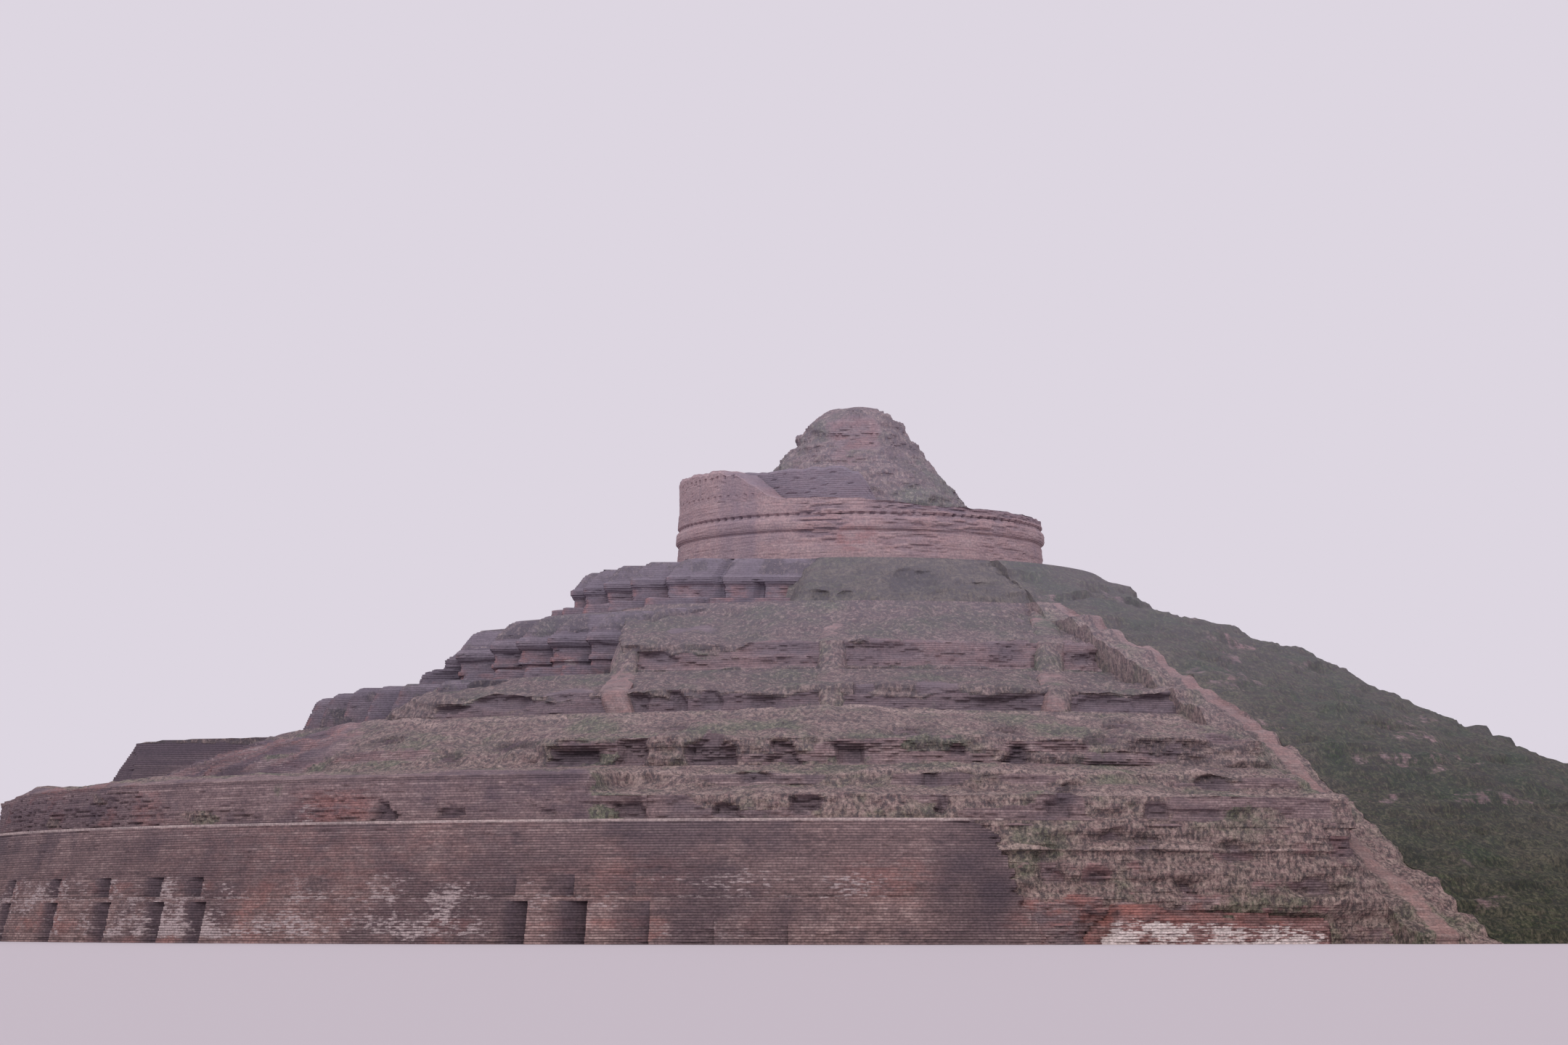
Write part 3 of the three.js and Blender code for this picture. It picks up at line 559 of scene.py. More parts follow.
fine_grain, into, out = effect(
    "Fine grain", [("Place", VECTOR, None), ("Size", FLOAT, 0.05)], [("Grain", FLOAT)]
)
grain_scale = sums(fine_grain, "DIVIDE", 1.0, into["Size"])
grain = cloud_of(fine_grain, into["Place"], grain_scale, 3.0)
fine_grain.links.new(spread(fine_grain, grain, 0.3, 0.7), out["Grain"])
print("patches, salt, run marks and grain are ready")

# %% [markdown]
# ### Turf
#
# The turf is short, dry grass with greener clumps, which at this scale reads as a mottled felt. The
# amount kept on the points says where it lies. Noise frays its edge, so that it thins out over the
# brick in tongues. Two finer noises give its straw and green tones and its bumps.

# %% Node group: turf
turf_cover, into, out = effect(
    "Turf cover",
    [("Place", VECTOR, None), ("Amount", FLOAT, 0)],
    [("Mask", FLOAT), ("Green", FLOAT), ("Dry", FLOAT), ("Band Shade", FLOAT), ("Blades", FLOAT)],
)
fray = cloud_of(turf_cover, into["Place"], 0.9, 6.0, 0.68)
ragged = times_plus(turf_cover, fray, 1.5, sums(turf_cover, "ADD", into["Amount"], -0.75))
turf_cover.links.new(spread(turf_cover, ragged, 0.38, 0.62), out["Mask"])
clumps = cloud_of(turf_cover, into["Place"], 0.22, 6.0, 0.7)
turf_cover.links.new(spread(turf_cover, clumps, 0.46, 0.64), out["Green"])
laid_over = pulled_out(turf_cover, into["Place"], (1.5, 1.5, 5.5))
dry = cloud_of(turf_cover, laid_over, 1.0, 6.0, 0.7)
turf_cover.links.new(spread(turf_cover, dry, 0.36, 0.64), out["Dry"])
# Level bands of painted shade, where the turf has slumped into terracettes
terraced = pulled_out(turf_cover, into["Place"], (0.35, 0.35, 2.0))
bands = cloud_of(turf_cover, terraced, 1.0, 5.0, 0.65)
turf_cover.links.new(spread(turf_cover, bands, 0.5, 0.66), out["Band Shade"])
upright = pulled_out(turf_cover, into["Place"], (1.0, 1.0, 0.5))
blades = cloud_of(turf_cover, upright, 4.6, 4.0, 0.8)
turf_cover.links.new(spread(turf_cover, blades, 0.36, 0.64), out["Blades"])
print("turf:", len(turf_cover.nodes), "nodes")

# %% [markdown]
# ## The finishes
#
# All the finishes are weathered brick with something on it, in different shares. One function
# builds them from a palette: three tones of brick, a dark tone for lichen, soot, joints and painted
# shade, fresh broken brick, salt, and five tones of turf. The colours are the dull pinks and mauves
# that brick takes on in hazy light, and a painted haze pales every finish as it rises. Nothing here
# is shiny, so the roughness stays near one and only the grain moves it.

# %% Build a finish from its palette
def colour(red, green, blue):
    """A colour from its screen values, 0 to 255."""
    def linear(v):
        v = v / 255
        return v / 12.92 if v <= 0.04045 else ((v + 0.055) / 1.055) ** 2.4
    return (linear(red), linear(green), linear(blue), 1.0)


def tones(*screen_values):
    return tuple(colour(*values) for values in screen_values)


finishes = {}
SALT = colour(178, 162, 160)
FRESH = colour(164, 110, 100)
# Painted haze: the pale mauve that every finish is paled towards as it rises, as hazy air pales high brick
PAINTED_HAZE = colour(188, 178, 194)
# Each turf: dry tips, bare soil, green growth, painted shade (between the blades, along the terracettes and
# in hollows), and dried-out grass
FRONT_TURF = tones((150, 131, 121), (109, 82, 80), (81, 99, 67), (62, 55, 55), (173, 150, 141))
SLOPE_TURF = tones((72, 82, 50), (62, 55, 42), (40, 69, 30), (26, 33, 21), (106, 98, 80))
MOSS = tones((100, 92, 90), (78, 68, 76), (82, 88, 78), (52, 46, 54), (156, 138, 130))


def weathered_finish(
    name, bricks, dark_tone, lichen, lichen_size=4.0, runs=0.2, course=COURSE, joint=0.55, turf=FRONT_TURF,
    salt=SALT
):
    dark, mid, light = bricks
    finish = bpy.data.materials.new(name)
    finish.use_nodes = True
    tree = finish.node_tree
    tree.nodes.clear()
    shader = put(tree, "ShaderNodeBsdfPrincipled", {"Specular IOR Level": 0.2})
    ending = put(tree, "ShaderNodeOutputMaterial")
    tree.links.new(shader.outputs[0], ending.inputs[0])

    model_place = put(tree, "ShaderNodeTexCoord").outputs["Object"]
    scale = 1 / METRE
    real = pulled_out(tree, model_place, (scale,) * 3)
    height = put(tree, "ShaderNodeSeparateXYZ", {0: real}).outputs[2]
    kept = {f: put(tree, "ShaderNodeAttribute", attribute_name=f).outputs["Fac"] for f in FIELDS}

    laid = use(tree, courses, Along=kept["along"], Height=height, Course=course, Length=BRICK_LENGTH)
    grain = use(tree, fine_grain, Place=real, Size=0.12)["Grain"]
    warm = use(tree, patches, Place=real, Size=2.2, Flatness=1.6, Cover=0.5, Softness=0.35)["Value"]
    tone = times(tree, laid["Course Tone"], 0.26)
    tone = times_plus(tree, laid["Brick Tone"], 0.12, tone)
    tone = times_plus(tree, laid["Streak"], 0.4, tone)
    tone = times_plus(tree, warm, 0.25, tone)
    brick = blend(tree, spread(tree, tone, 0.1, 0.55), dark, mid)
    brick = blend(tree, spread(tree, tone, 0.5, 0.9), brick, light)

    broken = use(tree, patches, Place=real, Size=1.1, Flatness=2.5, Cover=0.55, Softness=0.3)["Mask"]
    brick = blend(tree, times(tree, broken, kept["fresh"]), brick, FRESH)
    film = use(tree, patches, Place=real, Size=lichen_size, Flatness=1.2, Cover=lichen, Softness=0.3)["Mask"]
    marks = use(tree, run_marks, Along=kept["along"], Height=height, Spacing=0.9, Strength=runs)["Mask"]
    film = sums(tree, "MAXIMUM", times(tree, film, 0.7), marks)
    film = times(tree, film, times_plus(tree, kept["fresh"], -0.7, 1.0))
    # The dark tone darkens the brick under lichen film and run marks, where the points carry real stains, and
    # where they carry painted shade: in recesses, niches, hollows, bays and holes
    brick = blend(tree, sums(tree, "MAXIMUM", film, kept["stain"]), brick, dark_tone)
    bloom = dict(Along=kept["along"], Height=height, Brick_Tone=laid["Brick Tone"], Amount=kept["salt"])
    brick = blend(tree, use(tree, salt_bloom, Place=real, **bloom)["Mask"], brick, salt)
    brick = blend(tree, times(tree, laid["Joint"], joint), brick, dark_tone, "MULTIPLY")

    straw, soil, green, shade, dried = turf
    grass = use(tree, turf_cover, Place=real, Amount=kept["turf"])
    lawn = blend(tree, grass["Dry"], soil, straw)
    lawn = blend(tree, times(tree, grass["Green"], 0.9), lawn, green)
    lawn = blend(tree, times(tree, kept["parched"], 0.8), lawn, dried)
    # Painted shade along the terracettes
    lawn = blend(tree, times(tree, grass["Band Shade"], 0.45), lawn, shade)
    # Painted shade: turf darkens towards its shade tone in hollows, niches and bays, and also under real
    # stains
    lawn = blend(tree, times(tree, kept["stain"], 0.8), lawn, shade)
    lawn = blend(tree, spread(tree, grass["Blades"], 0.0, 0.6, 0.85, 0.0), lawn, shade)
    lawn = blend(tree, spread(tree, grass["Blades"], 0.6, 1.0, 0.0, 0.4), lawn, dried)
    whole = blend(tree, grass["Mask"], brick, lawn)
    mottle = spread(tree, grain, 0.0, 1.0, 0.78, 1.2)
    mottle = vector(tree, mottle, mottle, mottle)
    whole = blend(tree, 1.0, whole, mottle, "MULTIPLY")
    # Painted haze, growing with height
    whole = blend(tree, spread(tree, height, -4.0, 30.0, 0.0, 0.35), whole, PAINTED_HAZE)
    tree.links.new(whole, shader.inputs["Base Color"])
    tree.links.new(spread(tree, grain, 0.0, 1.0, 0.82, 1.0), shader.inputs["Roughness"])

    proud = times(tree, laid["Brick Tone"], 0.5)
    masonry = times_plus(tree, laid["Joint"], -0.9, proud)
    swell = times(tree, masonry, sums(tree, "SUBTRACT", 1.0, grass["Mask"]))
    standing = times(tree, grass["Blades"], grass["Mask"])
    swell = times_plus(tree, standing, 1.8, swell)
    swell = times_plus(tree, grain, 0.35, swell)
    bump = put(tree, "ShaderNodeBump", {"Height": swell, "Strength": 0.7, "Distance": 0.03 * METRE})
    tree.links.new(bump.outputs[0], shader.inputs["Normal"])
    finishes[name] = finish

# %% The ten finishes
PLAIN = tones((96, 78, 76), (138, 114, 110), (176, 152, 146))
RED = tones((84, 60, 58), (130, 98, 94), (168, 138, 132))
GREY = tones((98, 84, 90), (124, 110, 116), (150, 136, 140))
ORANGE = tones((148, 118, 114), (178, 146, 140), (196, 166, 160))
EARTH = tones((116, 94, 90), (134, 112, 106), (152, 130, 124))
WORN = tones((100, 80, 80), (132, 110, 108), (166, 144, 140))
weathered_finish("base_brick", PLAIN, colour(80, 68, 74), lichen=0.42, lichen_size=6.0, runs=0.3, joint=0.9)
weathered_finish("salted_brick", RED, colour(74, 54, 54), lichen=0.1, runs=0.1, salt=colour(214, 200, 194))
weathered_finish("pale_coping", tones((160, 140, 136), (186, 168, 162), (204, 188, 182)),
                 colour(140, 126, 124), lichen=0.25, runs=0.1, joint=0.2)
weathered_finish("weathered_brick", WORN, colour(68, 56, 68), lichen=0.22)
weathered_finish("dark_brick", GREY, colour(78, 72, 85), lichen=0.5, lichen_size=2.2, runs=0.35, joint=0.35,
                 turf=MOSS)
weathered_finish("drum_brick", ORANGE, colour(106, 90, 102), lichen=0.2, runs=0.25, course=0.08, joint=0.2)
weathered_finish("rubble_turf", WORN, colour(90, 78, 84), lichen=0.3, runs=0.1)
weathered_finish("green_turf", WORN, colour(84, 74, 76), lichen=0.3, runs=0.1, turf=SLOPE_TURF)
weathered_finish("dry_earth", EARTH, colour(104, 90, 88), lichen=0.1, runs=0.05, joint=0.1)
weathered_finish("core_brick", WORN, colour(90, 78, 82), lichen=0.35, runs=0.1)
print("finishes:", sorted(finishes))

# %% [markdown]
# # The hidden hearting
#
# The facings stand against a solid heart of brick. Its discs are simple and almost wholly hidden,
# so they keep the solids of the frame and only take the finish of rough hearting.

# %% Finish the hearting
for node in ("base_core", "lower_core", "second_core", "third_core", "fourth_core"):
    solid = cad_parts[node]
    solid.data.materials.clear()
    solid.data.materials.append(finishes["core_brick"])
print("hearting discs: 5")

# %% [markdown]
# # The base wall
#
# The wall leans back a quarter of its height, in courses of about 0.12 m. At its foot is a row of
# recesses, each cut straight in at one end and running out to nothing at the other, and a second,
# smaller row stands on the ledge above. The recesses could be cut with boolean boxes, but they
# taper, so the radius itself is drawn in. Extra columns keep their straight edges sharp.

# %% Shape of the base wall
BASE_FOOT, BASE_BATTER, LEDGE, LEDGE_HEIGHT, UPPER_RECESS_TOP = 52.2, 0.26, 0.25, 2.1, 3.2
FRONT_RECESSES = [-58.4, -51.5, -45.7, -40.8, -37.4, -17.1, -13.9, -10.6, -7.3, -3.6]
RECESSES = [e for edge in (*FRONT_RECESSES, -82, -76) for e in (edge, -180 - edge)]
WALL_END = 8.0
LINTEL = 0.14
# Each recess runs out over its width, salt blooms beside it, and the upper row is shifted along
RECESS_WIDTH, BLOOM_WIDTH, UPPER_SHIFT = 1.8, 1.7, 0.8
WORN_AWAY = {-10.6: 0.4, -7.3: 0.3, -3.6: 0.25, -17.1: 0.9}


def recess_cut(bearing, shift, front_share=1.0):
    """How far into a recess a bearing lies (1 at its straight edge), and how close beside one."""
    cut = beside = 0.0
    for edge in RECESSES:
        outward = -1 if edge > -90 else 1
        along = np.radians((bearing - edge) * outward) * BASE_FOOT - shift
        share = WORN_AWAY.get(edge, 1.0) * (front_share if edge > -20 else 1.0)
        cut = np.maximum(cut, np.where(along >= 0, share * unit(1 - along / RECESS_WIDTH), 0))
        beside = np.maximum(beside, np.where(along < 0, share * unit(1 + along / BLOOM_WIDTH), 0))
    return cut, beside


def base_shape(bearing, height):
    lower = BASE_FOOT - BASE_BATTER * height
    upper = lower - LEDGE
    radius = np.where(height < LEDGE_HEIGHT, lower, upper)
    low_cut, low_beside = recess_cut(bearing, 0.0)
    high_cut, high_beside = recess_cut(bearing, UPPER_SHIFT, 0.4)
    is_low = height < LEDGE_HEIGHT - LINTEL
    is_upper = (height >= LEDGE_HEIGHT + LINTEL) & (height < UPPER_RECESS_TOP)
    low_face = BASE_FOOT - 1.1 * low_cut
    high_face = BASE_FOOT - BASE_BATTER * LEDGE_HEIGHT - LEDGE - 0.7 * high_cut
    radius = np.where(is_low, np.minimum(radius, low_face), radius)
    radius = np.where(is_upper, np.minimum(radius, high_face), radius)
    in_recess = np.where(is_low, low_cut, np.where(is_upper, high_cut, 0))
    beside = np.where(is_low, low_beside, np.where(is_upper, high_beside, 0))
    x = across(bearing, radius)
    face = polar(bearing, 52, height)
    front = on_front(bearing)
    broken = np.interp(height, [0, 1, 2, 4, 5, BASE_TOP], [8.4, 7.9, 7.35, 6.8, 6.3, 5.3])
    ragged = 0.3 * noise(polar(bearing, 50, height), (0.5, 0.5, 0.3), 21)
    missing = ramp(x + ragged, broken - 0.15, broken + 0.35) * front
    radius = radius - (0.5 + 0.35 * height) * missing - 0.25 * ramp(x, broken - 1.4, broken) * front
    band = ramp(height, 0.05, 0.5) * fall(height, 2.7, 3.9)
    salt = band * (0.36 + 0.3 * noise(face, (6, 6, 1.6), 22))
    foot = fall(height, 0.3, 0.8)
    salt = salt + 0.3 * foot * ramp(noise(polar(bearing, 52, 0), (1.6, 1.6, 1), 25), 0, 0.5)
    salt = salt + 0.3 * near(height - LEDGE_HEIGHT - 0.05, 0.14, 0.05) * ramp(-bearing, -6, 2)
    left_row = ramp(-bearing, 34, 38) * fall(-bearing, 140, 144)
    salt = salt + band * beside * 0.25 + 0.16 * left_row * band - 0.6 * in_recess
    blooms = [(-19.5, 0.8, 2.4, 0.7), (-28, 0.9, 6, 0.6), (-23, 2.6, 5, 0.7)]
    salt = salt + 0.3 * spots(x, height, blooms, 0.7) * front
    salt = salt - 0.5 * spots(x, height, [(4.3, 2.5, 2.6, 4, 1)]) * front
    stains = [(5.4, 2.8, 2.2, 3.6, 0.95), (-14.0, 4.2, 2.2, 1.4, 0.5), (-33.0, 4.0, 8.0, 1.8, 0.48),
              (-41.5, 3.9, 4.0, 1.6, 0.4), (-24.0, 3.6, 6.0, 1.6, 0.2), (-45.5, 4.8, 4.5, 1.5, 0.45),
              (-3.0, 3.6, 1.6, 1.6, 0.35), (1.0, 4.6, 2.0, 1.2, 0.3)]
    uneven = 0.75 + 0.35 * noise(face, 1.2, 23)
    stain = spots(x, height, stains, 0.6) * front * uneven
    # Painted shade, with some damp: each recess is darkened, most at its straight edge and a little all over
    stain = np.clip(np.maximum(stain, 1.5 * in_recess + 0.25 * (in_recess > 0)), 0, 0.9)
    fresh = 0.4 * ramp(noise(face, (2.4, 2.4, 0.9), 24), 0.15, 0.5)
    pink_places = [(-25, 3.6, 9, 2.8, 0.2), (-10, 3.2, 2.4, 1.2, 0.3), (1.5, 3.0, 2.0, 0.8, 0.4)]
    pink = spots(x, height, pink_places, 0.8) * front
    fresh = np.maximum(np.maximum(fresh * fall(height, 2.8, 4.0), pink), missing)
    turf = 0.5 * missing + 0.25 * ramp(height, 5.2, 5.6)
    rough = 0.06 + 0.3 * missing
    return dict(radius=radius, brick=1 - 0.5 * missing, rough=rough, turf=turf, salt=salt, stain=stain,
                fresh=fresh)


# Columns just inside and outside the straight edge of each recess
edge_columns = []
for edge in RECESSES:
    outward = -1 if edge > -90 else 1
    for shift in (0.0, UPPER_SHIFT):
        for small in (-0.02, 0.02):
            edge_columns.append(edge + outward * math.degrees((shift + small) / BASE_FOOT))

print("recess edges round the base wall:", len(RECESSES))

# %% Build the base wall
base_rows = rows_of((0, LEDGE_HEIGHT, COURSE, True), (LEDGE_HEIGHT, BASE_TOP, COURSE, True))
BASE_WALLS = [("base_wall_back", -180, -152, 0.5), ("base_wall_back_left", -152, -118, 0.45),
              ("base_wall_left_back", -118, -90, 0.4), ("base_wall_left_front", -90, -62, 0.33),
              ("base_wall_front_left", -62, -28, 0.3), ("base_wall_front", -28, 9.6, 0.3)]
for node, start, end, spacing in BASE_WALLS:
    columns = bearings_from(start, end, spacing, BASE_FOOT, edge_columns)
    lay(node, "courses", "base_brick", columns, base_rows, base_shape, 0, BASE_TOP, BASE_BACK, BASE_FOOT)

# %% [markdown]
# # The coping
#
# A thin pale course caps the base wall. From the ground it is only a light line, but it is what
# makes the top edge readable, so it is a piece of its own with a slightly wavering height.

# %% Build the coping
def coping_shape(bearing, height):
    radius = 50.53 + 0.03 * noise(polar(bearing, 50, 0), (0.7, 0.7, 1), 31)
    missing = ramp(across(bearing, 50.5), 4.9, 5.3) * on_front(bearing)
    return dict(radius=radius - 0.8 * missing, brick=0, rough=0.02, turf=0.1, salt=0.2)


coping_rows = rows_of((BASE_TOP + 0.005, BASE_TOP + 0.085, 0.03, False))
for node, start, end in (("base_coping_left", -180, -90), ("base_coping_front", -90, WALL_END)):
    columns = bearings_from(start, end, 0.35, 50.5)
    lay(node, "line", "pale_coping", columns, coping_rows, coping_shape, BASE_TOP, BASE_TOP + 0.09,
        COPING_BACK, 50.5)

# %% [markdown]
# # The broken end of the base
#
# To the right of the clean wall only the lowest courses are left, white with salt, and above them
# broken orange-red brick. Behind and above, rubble and turf have slid over the base. The bank's
# surface is smooth where turf holds it and stepped where old courses show through.

# %% Shape and build the low salted wall
LOW_WALL_TOP = [(11.3, 0.5), (12.6, 1.2), (13.0, 1.8), (14.0, 1.8), (16.0, 1.5), (18.5, 1.25), (21.0, 1.1),
                (22.5, 1.25), (24.4, 1.1)]


def low_wall_shape(bearing, height):
    second_block = ramp(bearing, 21.7, 21.72)
    radius = 51.9 - 0.1 * height - 0.3 * second_block
    ragged = noise(polar(bearing, 52, 0), (0.9, 0.9, 1), 41)
    top = read_off(LOW_WALL_TOP, bearing) + 0.16 * ragged
    radius = radius - 0.9 * ramp(height, top - 0.2, top + 0.2) - 0.5 * ramp(height, top + 0.2, top + 0.9)
    face = polar(bearing, 52, height)
    wander = 0.5 * noise(face, 0.6, 45)
    radius = radius - 0.9 * fall(bearing + wander, 12.1, 12.9)
    radius = radius - 0.9 * ramp(bearing, 24.78, 24.83)
    white = fall(height, 0.62 * top - 0.2, 0.62 * top + 0.45)
    whole = ramp(bearing + 0.6 * noise(face, 0.7, 49), 12.3, 13.0) * fall(bearing, 24.73, 24.83)
    salt = (1.05 * white + 0.35 * noise(face, (1.2, 1.2, 0.4), 42)) * whole
    fresh = 0.3 + 0.7 * ramp(height, 0.5 * top, 0.8 * top)
    fresh = fresh * (0.75 + 0.6 * noise(face, (1.5, 1.5, 0.8), 50))
    fresh = fresh * (1 - 0.5 * ramp(bearing, 15.5, 17.0))
    washed = noise(face, (2.5, 2.5, 1.2), 46) + 0.5 * ramp(bearing, 16.5, 18.0)
    soil = ramp(washed - 0.5 * ramp(bearing, 20.5, 21.5), 0.3, 0.6)
    turf = 0.9 * soil * ramp(height, 0.75 * top, top)
    # Painted shade darkens the right end, where the wall steps back into a hollow
    return dict(radius=radius, brick=1, rough=0.16, turf=turf, salt=salt,
                stain=0.6 * ramp(bearing, 24.73, 24.83), fresh=fresh)


low_rows = rows_of((0, 1.8, COURSE, True))
columns = bearings_from(11.3, 25.5, 0.2, 52, [21.69, 21.73, 24.77, 24.84])
lay("salted_low_wall", "courses", "salted_brick", columns, low_rows, low_wall_shape, 0, 1.8,
    LOW_WALL_BACK, 52)

# %% [markdown]
# ## The bank of rubble over the base
#
# The bank leans on the slope of the mound, so the slope's profile comes first: how far from the axis
# it lies at each height. The bank itself could be a heap of loose stones, but turf binds it, so it
# is one skin with hollows, and only its lowest part shows brick.

# %% Profile of the unexcavated mound
SLOPE_PROFILE = [(0, 62), (0.7, 60.4), (2.4, 56.6), (5.2, 50.8), (7.6, 45.6), (9.6, 41.1), (11.4, 36.7),
                 (13.3, 32.2), (15.4, 27.7), (17.6, 22.7), (18.2, 20.4), (18.8, 17.9), (20.2, 15.9),
                 (FIFTH_TOP, 14.2)]
SLOPE_TOES = [(30, 54.0), (45, 56.5), (70, 61.0), (90, 62.0), (130, 60.5), (180, 55.5)]


def slope_radius(bearing, height):
    """How far the mound's surface lies from the axis. Its foot is drawn in towards front and back."""
    drawn_in = 62 - read_off(SLOPE_TOES, bearing)
    return read_off(SLOPE_PROFILE, height) - drawn_in * np.clip(1 - height / 12, 0, None)


def drawn_back(radius, bearing, height):
    """The right end of a terrace is drawn back to the surface of the slope."""
    lean = 0.8 * ramp(bearing, 27.5, PATH_START)
    return radius - lean * np.clip(radius - slope_radius(PATH_START, height), 0, None)


print("the slope lies", float(slope_radius(90, 0)), "m from the axis at its foot, on the right")

# %% Shape and build the rubble bank
BANK = [(0, 51.2), (1.45, 51.1), (2.6, 50.75), (4.2, 50.35), (BASE_TOP, 49.9)]


def bank_shape(bearing, height):
    radius = read_off(BANK, height)
    toe = 0.6 * fall(height, 0.1, 2.2) * fall(bearing, 10.2, 12.6)
    radius = radius + toe - 0.6 * fall(height, 0.9, 1.9) * ramp(bearing, 10.8, 11.8)
    lean = ramp(bearing, 27.0, PATH_START)
    radius = radius * (1 - lean) + (slope_radius(PATH_START, height) - 0.3) * lean
    x = across(bearing, radius)
    place = polar(bearing, 50, height)
    hollow_places = [(13.2, 4.6, 0.7, 0.5), (17.3, 4.2, 0.8, 0.4), (23.0, 4.4, 1.0, 0.5),
                     (8.6, 3.6, 0.5, 0.9), (10.9, 3.0, 0.6, 0.4), (15.0, 2.5, 0.5, 0.3),
                     (21.2, 2.6, 1.2, 0.4), (11.5, 4.9, 1.1, 0.25)]
    hollows = spots(*frayed(x, height, place), hollow_places, 0.6)
    bare = ramp(noise(place, (3.2, 3.2, 0.4), 43), -0.05, 0.4)
    low = fall(height + 0.5 * noise(place, 1.2, 47), 1.4, 2.3) * fall(bearing, 17, 20)
    edge = near(height - 4.25 - 0.15 * noise(place, (4, 4, 9), 48), 0.12, 0.02)
    brick = unit(0.1 + 0.4 * bare + low + 0.6 * hollows)
    turf = unit(1.0 - 0.75 * low - 0.4 * bare - 0.5 * hollows)
    fresh = unit(low * (0.4 + 1.3 * noise(place, 1.1, 44)) + 0.3 * bare)
    # Painted shade darkens the hollows
    return dict(radius=radius - 0.45 * hollows + 0.2 * edge, brick=brick, rough=0.36, turf=turf,
                salt=0.25, stain=0.5 * hollows, fresh=fresh, parched=0.7 * edge + 0.25)


bank_rows = rows_of((0, BASE_TOP, COURSE, True))
columns = bearings_from(5.0, PATH_START, 0.26, 50)
lay("rubble_bank_front", "slope", "rubble_turf", columns, bank_rows, bank_shape, 0, BASE_TOP, BASE_BACK,
    50)

# %% [markdown]
# # The lower and second terraces
#
# Both stand on the same plan as the base. On the left and at the back their faces are still clean
# brick. Towards the front the second terrace has fallen into a slope of stepped courses, and in the
# trenches only low scarps with small square niches are left. The profiles at a few bearings are
# blended, and niches and hollows are soft-edged boxes that draw the surface in.

# %% Niches with crumbled edges
# Each niche: centre, half width, floor, top and depth
LOWER_NICHES = [(-22.7, 0.45, 5.8, 6.6, 0.9), (-19.1, 0.65, 5.9, 6.35, 0.5), (-14.6, 0.5, 5.9, 6.4, 0.4),
                (-10.6, 0.65, 5.8, 6.55, 0.9), (-6.0, 0.6, 5.75, 6.4, 0.8), (-2.4, 0.55, 5.85, 6.75, 1.0),
                (3.8, 0.22, 6.05, 7.0, 0.8), (9.2, 0.5, 5.85, 6.6, 0.8), (13.7, 0.55, 5.85, 6.5, 0.7)]
SECOND_NICHES = [(-10.9, 0.72, 8.6, 9.65, 1.0), (-7.0, 1.15, 8.6, 9.5, 1.1), (-7.2, 0.5, 9.3, 10.0, 0.9),
                 (-3.7, 0.55, 8.6, 9.55, 1.0), (-0.5, 0.62, 8.6, 9.5, 1.0), (4.6, 0.25, 8.85, 9.5, 0.8),
                 (7.5, 0.3, 8.7, 9.3, 0.7), (-14.1, 1.0, 8.75, 9.3, 0.7)]
# The soft light of a hazy day shows them shallower than they are
NICHE_SHARE = 0.62


def niche_depth(x, height, place, niches):
    """How deep the surface lies in a row of niches whose edges have crumbled."""
    depth = 0 * (x + height)
    fx, fz = frayed(x, height, place, 0.4)
    for centre, half, floor, top, deep in niches:
        beside = ramp(-np.abs(fx - centre), -half - 0.18, -half + 0.18)
        within = ramp(fz, floor - 0.1, floor + 0.1) * fall(fz, top - 0.25, top + 0.15)
        depth = np.maximum(depth, deep * beside * within)
    return NICHE_SHARE * depth


def niche_columns(niches, radius):
    """Bearings just inside and outside both sides of each niche."""
    sides = [n[0] + s * (n[1] + d) for n in niches for s in (-1, 1) for d in (-0.1, 0.1)]
    return [math.degrees(math.asin(side / radius)) for side in sides]


print("niches in the lower and second terrace:", len(LOWER_NICHES), len(SECOND_NICHES))

# %% Shape of the lower terrace
LOWER_WALL = [(BASE_TOP - BURIED, 49.9), (BASE_TOP, 49.9), (7.7, 49.4), (7.9, 48.4), (LOWER_TOP, 43.6)]
LOWER_RUIN = [(BASE_TOP - BURIED, 49.9), (BASE_TOP, 49.9), (7.6, 49.4), (8.1, 48.2), (LOWER_TOP, 43.4)]
LOWER_FRONT = [(BASE_TOP - BURIED, 49.9), (BASE_TOP, 49.9), (6.85, 49.5), (7.35, 46.2), (8.05, 45.6),
               (LOWER_TOP, 43.2)]
LOWER_STATIONS = [(-180, LOWER_WALL), (-84, LOWER_WALL), (-70, LOWER_RUIN), (-15.0, LOWER_RUIN),
                  (-14.0, LOWER_FRONT)]


